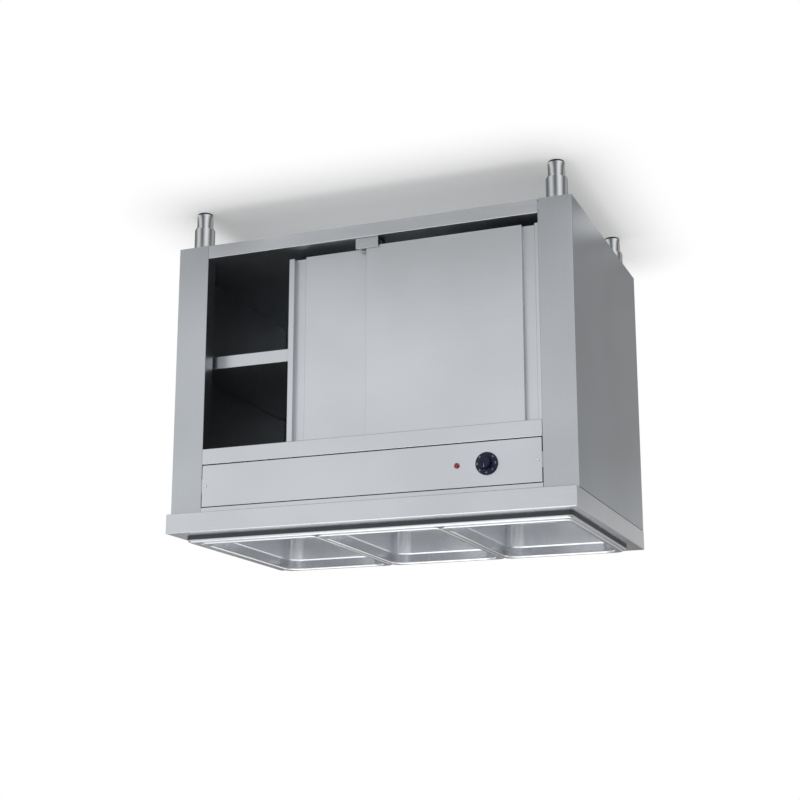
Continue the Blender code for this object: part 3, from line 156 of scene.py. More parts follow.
# Doors
PULL_EDGE = 15.6 * MM
PULL_WIDTH = 32 * MM
PULL_DEPTH = 13.5 * MM
ROLLER_BORE = 3.3 * MM
ROLLER_SHOULDER = 2 * MM

# Legs and feet
LEG_WALL = 2 * MM
LEG_CONE = 7 * MM
LEG_TIP = 1.5 * MM
LEG_RING = 11 * MM
FOOT_RADIUS = 21 * MM
FOOT_WALL = 4 * MM
FOOT_FLOOR = 6 * MM
FOOT_TOP = 85 * MM
FOOT_COLLAR = 5 * MM
SOLE_HEIGHT = 5 * MM
SOLE_SETBACK = 1.2 * MM
SLEEVE_INNER = FOOT_RADIUS - 0.2 * MM
SLEEVE_OUTER = FOOT_RADIUS + 0.25 * MM
SLEEVE_LIP = FOOT_RADIUS - 0.6 * MM
SLEEVE_BELOW_COLLAR = 0.5 * MM
SLEEVE_OVERLAP = 0.3 * MM
SLEEVE_TUCK = 1 * MM

# Controls and services, with the dial's sweep in degrees
KNOB_DEPTH = 23.5 * MM
KNOB_GRIP = (6 * MM, 16.6 * MM)
FLUTES = 12
FLUTE_DEPTH = 1.4 * MM
FLUTE_FULL_RADIUS = 14 * MM
DIAL_REACH = 22.3 * MM
DIAL_HEIGHT = 4.45 * MM
DIAL_TEXT = 5.6 * MM
DIAL_SWEEP = 270
DIAL_FIRST, DIAL_STEP = 30, 10
PRINT_DEPTH = 0.12 * MM
PRINT_WEIGHT = 0.04 * MM
SCREW_SHANK = 2 * MM
SOCKET_RADII = (0.5 * MM, 1.5 * MM)
SOCKET_DEPTH = 1.25 * MM
GLAND_NUT = 5 * MM
GLAND_FLATS_FROM = 10.5 * MM
LENS_STEM = 4 * MM
LENS_HEIGHT = 6 * MM
LENS_DOME = 4.5 * MM
WELD_FROM_EDGE = 2.6 * MM
WELD_HEIGHTS = (7 * MM, 30 * MM)
BULB_RADIUS = 3.2 * MM
BULB_LENGTH = 80 * MM
CAPILLARY_RADIUS = 1.1 * MM
CAPILLARY_BEND = 3 * MM
CAPILLARY_DROP = 8 * MM

# Patterns: how wide the clouds on metal are, and the span in which nearly all of a noise lies
CLOUD_SIZE = 250 * MM
NOISE_SPAN = (0.3, 0.7)

# Stage, in metres, with the turn of the legs' streaks in degrees
FLOOR_REACH = 60
SHADOW_CENTRE = (0.02, 0.08, 0)
SHADOW_HALF = (0.44, 0.34, 0)
SHADOW_FADE = 0.3
CARD_LIFT = 0.002
LEG_CARD_LIFT = 0.004
LEG_CARD_RADIUS = 0.3
LEG_CARD_SIDES = 48
LEG_STREAKS = 4
LEG_STREAK_TURN = 24
LEG_DARKEST = 0.2
ROOM_FADE = (0.02, 0.35)
ROOM_OVERHEAD = 0.32

# Camera, as fitted to the photograph turned upright: lens and sensor in millimetres, angles in degrees
LENS = 68.08
SENSOR = 36.0
CAMERA_PLACE = (-1.395, -3.649, 1.503)
CAMERA_YAW = 21.40
CAMERA_PITCH = 13.45
CAMERA_SHIFT_Y = 0.035
CAMERA_SEES_TO = 200


def mm(*values):
    """Lengths or points that are written in millimetres."""
    return np.array(values, float) * MM


def linear(text):
    """An sRGB hex colour turned to the linear values that Blender's sockets take."""
    parts = np.array([int(text[place:place + 2], 16) for place in (1, 3, 5)]) / 255
    return tuple(np.where(parts <= 0.04045, parts / 12.92, ((parts + 0.055) / 1.055) ** 2.4).tolist())


def add_node(tree, kind, settings=None, links=None):
    """Adds one node; settings fill its properties and sockets, and links feed its inputs from other sockets."""
    node = tree.nodes.new(kind)
    for name, value in (settings or {}).items():
        if isinstance(name, str) and hasattr(node, name):
            setattr(node, name, value)
        else:
            node.inputs[name].default_value = value
    for name, source in (links or {}).items():
        tree.links.new(source, node.inputs[name])
    return node


def new_material(name):
    """A material with an empty tree, and the output that its shader goes into."""
    material = bpy.data.materials.new(name)
    material.use_nodes = True
    tree = material.node_tree
    tree.nodes.clear()
    return material, tree, tree.nodes.new("ShaderNodeOutputMaterial")


def shades(colour, share):
    """A darker and a lighter value of a linear colour, by a share up and down."""
    colour = np.array(colour)
    return (*(colour * (1 - share)), 1), (*np.minimum(colour * (1 + share), 1), 1)


def add_surface(tree, output, settings, tone, gloss, height, strength, depth):
    """The end of a finish: the pattern's height as a bump, and the Principled shader."""
    relief = add_node(tree, "ShaderNodeBump", {"Strength": strength, "Distance": depth},
                      {"Height": height}).outputs[0]
    shader = add_node(tree, "ShaderNodeBsdfPrincipled", settings,
                      {"Base Color": tone, "Roughness": gloss, "Normal": relief})
    tree.links.new(shader.outputs[0], output.inputs[0])


def ground_metal(name, colour, grain, roughness, spacing=1.6 * MM, length=90 * MM, contrast=0.06, cloud=0.04,
                 relief=0.02 * MM, gloss_share=0.05):
    """Sheet ground with a belt along one axis: fine parallel lines, and faint clouds left by handling.

    The real lines lie about 0.1 mm apart, too fine for a render of the whole cabinet, so spacing draws them as
    coarse as they need to be to show.
    """
    material, tree, output = new_material(name)
    place = add_node(tree, "ShaderNodeTexCoord").outputs["Object"]
    scale = [1 / spacing] * 3
    scale["XYZ".index(grain)] = 1 / length
    drawn = add_node(tree, "ShaderNodeMapping", {"Scale": scale}, {"Vector": place}).outputs[0]
    lines = add_node(tree, "ShaderNodeTexNoise", {"Scale": 1.0, "Detail": 4.0, "Roughness": 0.65},
                     {"Vector": drawn}).outputs["Fac"]
    clouds = add_node(tree, "ShaderNodeTexNoise", {"Scale": 1 / CLOUD_SIZE, "Detail": 2.0, "Roughness": 0.5},
                      {"Vector": place}).outputs["Fac"]
    low, high = shades(colour, contrast)
    streaks = add_node(tree, "ShaderNodeMix", {"data_type": "RGBA", 6: low, 7: high}, {0: lines}).outputs[2]
    low, high = NOISE_SPAN
    level, gloss = (add_node(tree, "ShaderNodeMapRange", {"From Min": low, "From Max": high, "To Min": middle - share,
                                                          "To Max": middle + share}, {"Value": pattern}).outputs[0]
                    for pattern, middle, share in ((clouds, 1, cloud), (lines, roughness, gloss_share)))
    tone = add_node(tree, "ShaderNodeVectorMath", {"operation": "SCALE"}, {0: streaks, "Scale": level}).outputs[0]
    add_surface(tree, output, {"Metallic": 1.0}, tone, gloss, lines, 0.5, relief)
    return material


def moulded(name, colour, roughness, grit=0.6 * MM, relief=0.02 * MM, contrast=0.08, gloss_share=0.05, **settings):
    """Injection-moulded plastic: an even colour under a fine spark-eroded grain that breaks up the gloss.

    The other settings go to the shader.
    """
    material, tree, output = new_material(name)
    place = add_node(tree, "ShaderNodeTexCoord").outputs["Object"]
    grain = add_node(tree, "ShaderNodeTexNoise", {"Scale": 1 / grit, "Detail": 3.0}, {"Vector": place}).outputs["Fac"]
    low, high = shades(colour, contrast)
    tone = add_node(tree, "ShaderNodeMix", {"data_type": "RGBA", 6: low, 7: high}, {0: grain}).outputs[2]
    gloss = add_node(tree, "ShaderNodeMapRange", {"To Min": roughness - gloss_share,
                                                  "To Max": roughness + gloss_share}, {"Value": grain}).outputs[0]
    settings = {"IOR": 1.5, **{key.replace("_", " "): value for key, value in settings.items()}}
    add_surface(tree, output, settings, tone, gloss, grain, 0.3, relief)
    return material


def finish_makers(look):
    """One maker for each finish, named after the record's slots where the record has it."""
    return {
        # Stainless sheet ground along the front: soft wide reflections, in a colour a shade lighter than the case's
        "satin_steel_front": lambda name: ground_metal(name, look.front, "X", 0.36),
        # The same sheet with the belt run upright, in a darker colour: painted shade for the darker look of the sides
        # and posts
        "satin_steel_case": lambda name: ground_metal(name, look.case, "Z", 0.38, contrast=0.08, spacing=1.2 * MM),
        # Worktop ground along its length: a little glossier than the front
        "satin_steel_top": lambda name: ground_metal(name, look.top, "X", 0.24, contrast=0.04, relief=0.008 * MM),
        # Pressed and polished steel of the pans: bright, with blurred streaks where the walls turn
        "polished_steel": lambda name: ground_metal(name, look.pans, "Z", 0.22, spacing=4 * MM, contrast=0.02,
                                                    relief=0.003 * MM, gloss_share=0.02),
        # Mill-finish stainless of the tank: dull, because water marks it, in the case's darker colour with its
        # painted shade
        "tank_steel": lambda name: ground_metal(name, look.case, "Z", 0.42, contrast=0.08, cloud=0.10),
        # Bright-drawn stainless tube: sharp upright streaks of light and dark
        "leg_steel": lambda name: ground_metal(name, look.legs, "Z", 0.16, contrast=0.03, relief=0.006 * MM,
                                               gloss_share=0.02),
        # Zinc-plated mild steel: grey, cloudy and half dull
        "zinc_steel": lambda name: ground_metal(name, linear("#8E9194"), "X", 0.48, length=12 * MM, cloud=0.12),
        # Extruded aluminium, as sawn: a pale satin with faint die lines
        "aluminium": lambda name: ground_metal(name, linear("#B9BCBF"), "X", 0.38, spacing=0.8 * MM),
        # Nickel alloy sheath, browned by heat
        "element_alloy": lambda name: ground_metal(name, linear("#4E4944"), "Z", 0.5, length=8 * MM, cloud=0.15),
        # Turned brass, plain and a little tarnished
        "brass": lambda name: ground_metal(name, linear("#B0904F"), "Z", 0.34, length=10 * MM, cloud=0.10),
        # Black phenolic moulding with a blue cast: a dim even gloss
        "black_plastic": lambda name: moulded(name, look.knob, 0.30, IOR=1.36),
        # Silicone bead round the foot of the rim, dull: its dark grey is painted shade, standing in for the shadow
        # gap under the rim
        "dark_silicone": lambda name: moulded(name, linear("#484B4E"), 0.6),
        # Grey polyamide: matt, with a fine grain
        "grey_plastic": lambda name: moulded(name, linear("#5A5D60"), 0.48),
        # White nylon: waxy and pale
        "white_nylon": lambda name: moulded(name, linear("#D6D6D0"), 0.40),
        # Clear red acrylic: glossy under a clear coat
        "red_lens": lambda name: moulded(name, look.lens, 0.12, IOR=1.49, Coat_Weight=0.5),
        # White filler in the numbers of the dial
        "white_print": lambda name: moulded(name, linear("#D9DCE2"), 0.45),
    }


def finish(name):
    """The material of a finish, made once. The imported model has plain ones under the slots' own names."""
    dressed = f"{name}_finish"
    if dressed not in bpy.data.materials:
        finish_makers(bpy.context.scene.bain_marie_look)[name](dressed)
    return bpy.data.materials[dressed]


def steps_of(kind):
    """How many flats a round stretch is drawn with, from the panel's settings."""
    return getattr(bpy.context.scene.bain_marie_shape, kind)


def folded(line, sheet=0.0, bends=FOLD_BEND, steps=None):
    """The two faces of a folded sheet, as arrays of points.

    The first face follows the line and the second lies a sheet's thickness to its left. At each corner both turn
    on one arc centre, with the bend as the inner radius: centre plus outward normal times radius, over the angle.
    A point just before and after each arc holds the flats flat in the shading.
    """
    steps = steps or steps_of("fold_steps")
    line = np.array(line, float)
    bends = np.broadcast_to(bends, len(line) - 2)
    heading = np.diff(line, axis=0)
    length = np.linalg.norm(heading, axis=1)
    heading /= length[:, None]
    normal = np.stack([-heading[:, 1], heading[:, 0]], 1)
    cross = heading[:-1, 0] * heading[1:, 1] - heading[:-1, 1] * heading[1:, 0]
    turns = np.arctan2(cross, (heading[:-1] * heading[1:]).sum(1))
    taken = np.concatenate([[0], (bends + sheet) * np.tan(np.abs(turns) / 2), [0]])
    hold = np.clip((length - taken[:-1] - taken[1:]) / 4, 0, HOLD)
    face, back = [line[:1]], [line[:1] + normal[:1] * sheet]
    for number, (corner, bend, turn) in enumerate(zip(line[1:-1], bends, turns)):
        before, after, left = heading[number], heading[number + 1], normal[number]
        side = math.copysign(1, turn)
        centre = corner + (left * side - before * math.tan(abs(turn) / 2)) * (bend + (sheet if side > 0 else 0))
        angle = turn * np.linspace(0, 1, steps + 1)
        x, y = -left * side
        outward = np.stack([x * np.cos(angle) - y * np.sin(angle), x * np.sin(angle) + y * np.cos(angle)], 1)
        for points, far in ((face, side > 0), (back, side < 0)):
            arc = centre + outward * (bend + (sheet if far else 0))
            points += [arc[:1] - before * hold[number], arc, arc[-1:] + after * hold[number + 1]]
    face.append(line[-1:])
    back.append(line[-1:] + normal[-1:] * sheet)
    return np.concatenate(face), np.concatenate(back)


def mirrored(line):
    """A line drawn for the left, turned over for the right, with its sheet kept on the same side."""
    return [(-across, along) for across, along in line[::-1]]


def inset(box, distance):
    """Boxes seen from above, as left, right, front and back, each drawn in by its distance."""
    return np.array(box, float) + np.multiply.outer(distance, (1, -1, 1, -1))


def rounded(boxes, corners, heights):
    """A ring of points for each box: four quarter circles of the corner's radius, at the given height.

    Each quarter starts and ends with a point slid along the straight, which holds the straights flat in the shading.
    """
    steps = steps_of("corner_steps")
    left, right, front, back = boxes.T
    radius = np.maximum(corners, SMALLEST_CORNER)
    share = np.concatenate([[0], np.linspace(0, 1, steps + 1), [1]])
    slide = np.zeros(steps + 3)
    slide[[0, -1]] = -HOLD, HOLD
    angle = QUARTER * (np.arange(4)[:, None] + share)
    centre_x = np.stack([right - radius, left + radius, left + radius, right - radius], 1)[..., None]
    centre_y = np.stack([back - radius, back - radius, front + radius, front + radius], 1)[..., None]
    x = centre_x + radius[:, None, None] * np.cos(angle) - slide * np.sin(angle)
    y = centre_y + radius[:, None, None] * np.sin(angle) + slide * np.cos(angle)
    z = np.broadcast_to(heights[:, None, None], x.shape)
    return np.stack([x, y, z], -1).reshape(len(boxes), -1, 3)


def placed(axis, first, second, along):
    """Points in space from two coordinates across an axis and one along it."""
    order = {"X": (along, first, second), "Y": (first, along, second), "Z": (first, second, along)}[axis]
    return np.stack(np.broadcast_arrays(*order), -1)


def quads(rows, columns, rows_close=False):
    """Corner numbers of the faces between the rows of a grid of points whose columns close on themselves."""
    row = np.arange(rows if rows_close else rows - 1)[:, None]
    column = np.arange(columns)[None, :]
    next_row, next_column = (row + 1) % rows, (column + 1) % columns
    corners = [row * columns + column, row * columns + next_column, next_row * columns + next_column,
               next_row * columns + column]
    return np.stack(np.broadcast_arrays(*corners), -1).reshape(-1, 4)


def clean(mesh, flatten=False):
    """Merges the doubles of a mesh, then joins its flat faces or turns its faces outwards."""
    shape = bmesh.new()
    shape.from_mesh(mesh)
    bmesh.ops.remove_doubles(shape, verts=shape.verts, dist=DOUBLES)
    if flatten:
        bmesh.ops.dissolve_limit(shape, angle_limit=math.radians(FLAT_WITHIN), verts=shape.verts, edges=shape.edges)
    else:
        bmesh.ops.recalc_face_normals(shape, faces=shape.faces)
    shape.to_mesh(mesh)
    shape.free()


def new_object(name, data):
    """An object at the origin, in the scene's own collection."""
    made = bpy.data.objects.new(name, data)
    bpy.context.scene.collection.objects.link(made)
    return made


def add_piece(name, mesh, material, node=None, body="cabinet", bevel=0.0, sharp=SMOOTH_BELOW):
    """A piece from a finished mesh, smooth but for its sharp edges, with its edges eased if asked.

    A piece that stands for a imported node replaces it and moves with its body, and any other with the one named.
    """
    mesh.shade_smooth()
    mesh.set_sharp_from_angle(angle=math.radians(sharp))
    mesh.materials.clear()
    mesh.materials.append(finish(material))
    piece = new_object(name, mesh)
    if bevel:
        edge = piece.modifiers.new("edge", "BEVEL")
        edge.width = bevel
        edge.segments = 2
        edge.limit_method = "ANGLE"
        edge.angle_limit = math.radians(BEVEL_ABOVE)
        flats = piece.modifiers.new("flats", "WEIGHTED_NORMAL")
        flats.weight = 100
        flats.keep_sharp = True
    if node:
        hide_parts(node)
    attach(piece, BODY_OF[node] if node else body)
    return piece


def make_piece(name, points, faces, material, node=None, body="cabinet"):
    """A piece from points and faces."""
    mesh = bpy.data.meshes.new(name)
    mesh.from_pydata(np.asarray(points).reshape(-1, 3).tolist(), [], [list(map(int, face)) for face in faces])
    clean(mesh)
    return add_piece(name, mesh, material, node, body)


def loft(name, rings, material, node=None, closed=False, body="cabinet"):
    """A skin through rings of points; an open one gets a flat cap on each end."""
    rows, columns = rings.shape[:2]
    faces = list(quads(rows, columns, closed))
    if not closed:
        faces += [np.arange(columns), np.arange((rows - 1) * columns, rows * columns)]
    return make_piece(name, rings, faces, material, node, body)


def sheet_piece(name, line, axis, low, high, material, node, sheet=CASE_SHEET, blocks=()):
    """A folded sheet carried straight along an axis, its ends closed by a strip between the two faces.

    blocks are plain boxes, each two corners, that are welded to it.
    """
    face, back = folded(line, sheet)
    outline = np.concatenate([face, back[::-1]])
    count, half = len(outline), len(face)
    points = np.concatenate([placed(axis, outline[:, 0], outline[:, 1], along) for along in (low, high)])
    here = np.arange(half - 1)
    strip = np.stack([here, here + 1, count - 2 - here, count - 1 - here], 1)
    faces = [*quads(2, count), *strip, *(strip + count)]
    for first, second in blocks:
        corners = [(x, y, z) for z in (first[2], second[2]) for x, y in
                   ((first[0], first[1]), (second[0], first[1]), (second[0], second[1]), (first[0], second[1]))]
        start = len(points)
        points = np.concatenate([points, corners])
        faces += [*(quads(2, 4) + start), np.arange(4) + start, np.arange(4, 8) + start]
    return make_piece(name, points, faces, material, node)


def turned(name, profile, axis, centre, material, node=None, steps=None, reach=None, bends=None, body="cabinet"):
    """A profile of radius and distance turned about an axis: point = centre + radius (cos a, sin a) + distance.

    reach gives each radius as a function of radius, distance and angle, for flutes and hexagons. bends rounds the
    profile's corners. A profile that starts off the axis closes on itself round a bore.
    """
    steps = steps or steps_of("round_steps")
    bored = profile[0][0] > 0
    if bends is not None:
        profile = folded(profile, 0.0, bends, PROFILE_STEPS)[0]
    profile = np.array(profile, float)
    angle = 2 * math.pi * np.arange(steps)[None, :] / steps
    radius = np.broadcast_to(profile[:, :1], (len(profile), steps))
    if reach:
        radius = reach(radius, profile[:, 1:], angle)
    points = placed(axis, radius * np.cos(angle), radius * np.sin(angle), profile[:, 1:]) + np.array(centre)
    return make_piece(name, points, quads(len(profile), steps, bored), material, node, body)


def hexagon(chosen):
    """A reach that turns the chosen radii into a hexagon with its corners at the radius."""
    def reach(radius, along, angle):
        flat = math.cos(math.pi / 6) / np.cos(np.mod(angle, math.pi / 3) - math.pi / 6)
        return np.where(chosen(radius, along), radius * flat, radius)
    return reach


def fluted(radius, along, angle):
    """A reach with shallow flutes in the grip: the radius less a raised cosine, none on the skirt or in the bore."""
    dent = FLUTE_DEPTH * (1 - np.cos(FLUTES * angle)) / 2
    grip = (radius > KNOB_GRIP[0]) & (radius < KNOB_GRIP[1])
    return np.where(grip, radius - dent * np.clip(radius / FLUTE_FULL_RADIUS, 0, 1), radius)


def filleted(route, bend):
    """A route in space with each corner turned on an arc: centre + cos(a) first + sin(a) across."""
    route = np.array(route, float)
    points = [route[:1]]
    for before, here, after in zip(route, route[1:], route[2:]):
        back = (before - here) / np.linalg.norm(before - here)
        ahead = (after - here) / np.linalg.norm(after - here)
        opening = math.acos(np.clip(back @ ahead, -1, 1))
        reach = bend / math.tan(opening / 2)
        middle = (back + ahead) / np.linalg.norm(back + ahead)
        centre = here + middle * bend / math.sin(opening / 2)
        first = here + back * reach - centre
        angle = np.linspace(0, math.pi - opening, ROUTE_STEPS + 1)[:, None]
        points.append(centre + first * np.cos(angle) - back * bend * np.sin(angle))
    points.append(route[-1:])
    return np.concatenate(points)


def tube(name, points, radii, material, node, lean):
    """A round profile carried along a path: each ring stands square to the path, turned by one fixed lean."""
    ahead = np.gradient(points, axis=0)
    ahead /= np.linalg.norm(ahead, axis=1)[:, None]
    side = np.cross(ahead, lean)
    side /= np.linalg.norm(side, axis=1)[:, None]
    other = np.cross(ahead, side)
    angle = 2 * math.pi * np.arange(TUBE_SIDES)[None, :, None] / TUBE_SIDES
    rings = side[:, None] * np.cos(angle) + other[:, None] * np.sin(angle)
    rings = points[:, None] + rings * np.broadcast_to(radii, len(points))[:, None, None]
    return loft(name, rings, material, node)


def eased(node, bevel=SHEET_EDGE):
    """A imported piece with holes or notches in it: its mesh merged, its flats cleaned and its edges eased."""
    mesh = frame["nodes"][node].data.copy()
    mesh.name = node
    clean(mesh, flatten=True)
    for layer in list(mesh.attributes):
        if layer.name.startswith("custom_normal") or layer.name == "sharp_edge":
            mesh.attributes.remove(layer)
    return add_piece(f"{node}_eased", mesh, SLOT_OF[node], node, bevel=bevel, sharp=EASED_SMOOTH_BELOW)


def written(name, text, size, place, turn, material, body):
    """Text as a thin mesh, standing upright on the front and turned about the axis that points out of it."""
    curve = bpy.data.curves.new(name, "FONT")
    curve.body = text
    curve.size = size
    curve.extrude = PRINT_DEPTH
    curve.offset = PRINT_WEIGHT
    curve.align_x = curve.align_y = "CENTER"
    words = bpy.data.objects.new(name, curve)
    mesh = bpy.data.meshes.new_from_object(words)
    bpy.data.objects.remove(words)
    clean(mesh)
    mesh.transform(Matrix.Translation(place) @ Matrix.Rotation(turn, 4, "Y") @ Matrix.Rotation(QUARTER, 4, "X"))
    return add_piece(name, mesh, material, body=body)


def sides(node):
    """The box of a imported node, as left, front, bottom, right, back and top."""
    low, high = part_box(node)
    return (*low, *high)


def axis_of(node, axis):
    """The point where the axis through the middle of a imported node's box starts, at 0 along it."""
    centre = np.array(sides(node)).reshape(2, 3).mean(0)
    centre["XYZ".index(axis)] = 0
    return centre


def make_worktop():
    """One folded sheet lofted round from the lip in the well: rim, top, skirt and the return under it.

    Each point of the fold's outline is a distance in from the skirt and a height, and gives one ring. The box and
    corner of the ring come from the nearest of four anchors, since the strips differ in width from side to side.
    The sealing bead round the foot of the rim is a loft of four such rings; its dark colour is painted shade for the
    shadow gap there.
    """
    left, front, _, right, back, rim_top = sides("worktop")
    height = rim_top - RIM_HEIGHT
    bottom = height - BAND_HEIGHT
    pans = (sides("pan_left")[0], sides("pan_right")[3], sides("pan_left")[1], sides("pan_left")[4])
    well_inset = RIM_FRONT + RIM_TO_PAN + PAN_BEARING
    distances = np.array([0, BAND_RETURN, RIM_FRONT, well_inset])
    boxes = np.array([
        (left, right, front, back),
        (left + BAND_RETURN, right - BAND_RETURN, front + BAND_FRONT_RETURN, back - BAND_RETURN),
        (left + RIM_SIDE, right - RIM_SIDE, front + RIM_FRONT, back - RIM_BACK),
        inset(pans, PAN_BEARING),
    ])
    corners = np.array([BAND_CORNER, BAND_CORNER, RIM_CORNER, WELL_CORNER])
    line = ((well_inset, rim_top - WELL_LIP), (well_inset, rim_top), (RIM_FRONT, rim_top), (RIM_FRONT, height),
            (0, height), (0, bottom), (BAND_RETURN, bottom))
    top, under = folded(line, TOP_SHEET, (FOLD_BEND, RIM_TOP_BEND, RIM_BEND, BAND_EDGE_BEND, FOLD_BEND))
    outline = np.concatenate([top, under[::-1]])
    nearest = np.abs(outline[:, :1] - distances).argmin(1)
    beyond = outline[:, 0] - distances[nearest]
    rings = rounded(boxes[nearest] + beyond[:, None] * np.array((1, -1, 1, -1)), corners[nearest] - beyond,
                    outline[:, 1])
    loft("worktop_sheet", rings, "satin_steel_top", "worktop", closed=True)

    # The dark bead round the rim's foot: painted shade for the shadow gap under the rim
    beyond = np.array((SEAL_OVERLAP, -SEAL_DEPTH, -SEAL_DEPTH, SEAL_OVERLAP))
    levels = height + np.array((SEAL_HEIGHT, SEAL_HEIGHT, 0, 0))
    rings = rounded(inset(boxes[2], beyond), RIM_CORNER - beyond, levels)
    loft("rim_shade_bead", rings, "dark_silicone", closed=True)


def make_pans():
    """Pressed pans, each lofted round from the middle of its floor to the edge of its flange and back under.

    A point of the outline is a distance in from the flange and a height; the corner radius grows from the flange
    to the body in step with that distance.
    """
    for name in ("pan_left", "pan_centre", "pan_right"):
        left, front, _, right, back, top = sides(name)
        floor = top - PAN_DEPTH + PAN_SHEET
        shoulder = top - PAN_SHOULDER_DEPTH
        wall = PAN_FLANGE + PAN_SHEET
        waist = wall + PAN_SHOULDER
        foot = waist + PAN_TAPER
        line = ((foot + 2 * PAN_FLOOR_BEND, floor), (foot, floor), (waist, shoulder), (wall, shoulder), (wall, top),
                (0, top), (0, top - PAN_EDGE))
        bends = (PAN_FLOOR_BEND, PAN_EDGE_BEND, PAN_EDGE_BEND, PAN_MOUTH_BEND, PAN_EDGE_BEND)
        inner, outer = folded(line, PAN_SHEET, bends, PAN_FOLD_STEPS)
        outline = np.concatenate([inner, outer[::-1]])
        inward = np.clip(outline[:, 0] / PAN_FLANGE, 0, 1)
        corners = PAN_FLANGE_CORNER + (PAN_BODY_CORNER - PAN_FLANGE_CORNER) * inward
        rings = rounded(inset((left, right, front, back), outline[:, 0]), corners, outline[:, 1])
        loft(f"{name}_pressing", rings, "polished_steel", name)


def make_well():
    """The heater under the pans: one tube bent into runs and swept along its route, and the bars across the well."""
    flange = sides("element_flange")
    low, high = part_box("heating_element")
    middle, height = (flange[0] + flange[3]) / 2, (flange[2] + flange[5]) / 2
    row, far = flange[4] + HEATER_MARGIN + CASE_SHEET + GAP, high.y - HEATER_RADIUS
    near = row + HEATER_RUN_START
    runs = np.linspace(high.x - HEATER_RADIUS, low.x + HEATER_RADIUS, HEATER_RUNS)
    route = [(middle + HEATER_LEAD, low.y, height), (middle + HEATER_LEAD, row, height), (runs[0], row, height),
             (runs[0], far, height)]
    for run, x in enumerate(runs[1:-1]):
        ends = (near, far) if run % 2 else (far, near)
        route += [(x, ends[0], height), (x, ends[1], height)]
    route += [(runs[-1], far, height), (runs[-1], row, height), (middle - HEATER_LEAD, row, height),
              (middle - HEATER_LEAD, low.y, height)]
    tube("heater_tube", filleted(route, HEATER_BEND), HEATER_RADIUS, "element_alloy", "heating_element", (0, 0, 1))
    for name in ("cross_bar_left", "cross_bar_right"):
        left, front, bottom, right, back, top = sides(name)
        sheet_piece(f"{name}_channel", ((right, bottom), (right, top), (left, top), (left, bottom)), "Y", front, back,
                    "satin_steel_top", name)
    for node in ("well_tank", "element_flange"):
        eased(node)


def make_case():
    """Folded sheets of the case: side panels with their posts, front rails, and the stops behind the posts."""
    left, front, bottom, _, back, top = sides("side_panel_left")
    panel = sides("control_panel")
    post_edge = panel[0] - PANEL_JOINT
    height = (panel[2] + panel[5]) / 2
    line = ((left + REAR_RETURN, back), (left, back), (left, front), (post_edge, front),
            (post_edge, front + POST_RETURN))
    tab_front = front + CASE_SHEET + GAP
    inner = left + CASE_SHEET / 2
    blocks = [((inner, front + FLANGE_SETBACK, low), (left + SIDE_FLANGE, back - FLANGE_SETBACK, low + CASE_SHEET))
              for low in (bottom, top - CASE_SHEET)]
    blocks.append(((post_edge - CASE_SHEET / 2, tab_front, height - TAB_HALF_HEIGHT),
                   (post_edge + TAB_WIDTH, tab_front + CASE_SHEET, height + TAB_HALF_HEIGHT)))
    flipped = [((-second[0], *first[1:]), (-first[0], *second[1:])) for first, second in blocks]
    sheet_piece("side_sheet_left", line, "Z", bottom, top, "satin_steel_case", "side_panel_left", blocks=blocks)
    sheet_piece("side_sheet_right", mirrored(line), "Z", bottom, top, "satin_steel_case", "side_panel_right",
                blocks=flipped)

    left, front, bottom, right, back, top = sides("front_top_rail")
    line = ((back, top - TOP_RAIL_HEM), (back, top), (front, top), (front, bottom))
    sheet_piece("top_rail_sheet", line, "X", left, right, "satin_steel_front", "front_top_rail")
    left, front, bottom, right, back, top = sides("middle_rail")
    line = ((back, top), (front, top), (front, bottom), (front + MIDDLE_RAIL_RETURN, bottom))
    sheet_piece("middle_rail_sheet", line, "X", left, right, "satin_steel_front", "middle_rail")

    left, front, bottom, right, back, top = sides("door_stop_left")
    line = ((left, front), (right, front), (right, back))
    sheet_piece("stop_sheet_left", line, "Z", bottom, top, "satin_steel_case", "door_stop_left")
    sheet_piece("stop_sheet_right", mirrored(line), "Z", bottom, top, "satin_steel_case", "door_stop_right")
    eased("back_panel")
    eased("control_panel")


def make_shelves():
    """Bottom shelf with its rail, and the shelf above with a hemmed lip on two angle brackets."""
    eased("bottom_shelf")
    left, front, bottom, right, back, top = sides("mid_shelf")
    deck = top - SHELF_UPSTAND
    line = ((back, top), (back, deck), (front, deck), (front, bottom), (front + SHELF_HEM, bottom))
    sheet_piece("mid_shelf_sheet", line, "X", left, right, "satin_steel_front", "mid_shelf")
    left, front, bottom, right, back, top = sides("shelf_bracket_left")
    line = ((right, top), (left, top), (left, bottom))
    sheet_piece("bracket_left", line, "Y", front, back, "satin_steel_case", "shelf_bracket_left")
    sheet_piece("bracket_right", mirrored(line), "Y", front, back, "satin_steel_case", "shelf_bracket_right")


def make_doors():
    """Hollow sliding doors with a finger channel pressed in beside one edge, and the gear that carries them."""
    for door in ("front_door", "rear_door"):
        left, front, bottom, right, back, top = sides(f"{door}_panel")
        start = left + PULL_EDGE if door == "front_door" else right - PULL_EDGE - PULL_WIDTH
        end, bed = start + PULL_WIDTH, front + PULL_DEPTH
        line = ((left, back), (left, front), (start, front), (start, bed), (end, bed), (end, front), (right, front),
                (right, back))
        sheet_piece(f"{door}_face", line, "Z", bottom, top, "satin_steel_front", f"{door}_panel", DOOR_SHEET)
        eased(f"{door}_liner")
        for side in ("left", "right"):
            eased(f"{door}_hanger_{side}")
            name = f"{door}_roller_{side}"
            left, front, _, right, back, _ = sides(name)
            radius = (right - left) / 2
            profile = ((ROLLER_BORE, front), (radius - ROLLER_SHOULDER, front), (radius, front), (radius, back),
                       (radius - ROLLER_SHOULDER, back), (ROLLER_BORE, back))
            turned(f"{name}_wheel", profile, "Y", axis_of(name, "Y"), "white_nylon", name, SMALL_ROUND_STEPS,
                   bends=mm(0.3, 0.6, 0.6, 0.3))
    eased("door_track")
    eased("door_guide", GUIDE_EDGE)


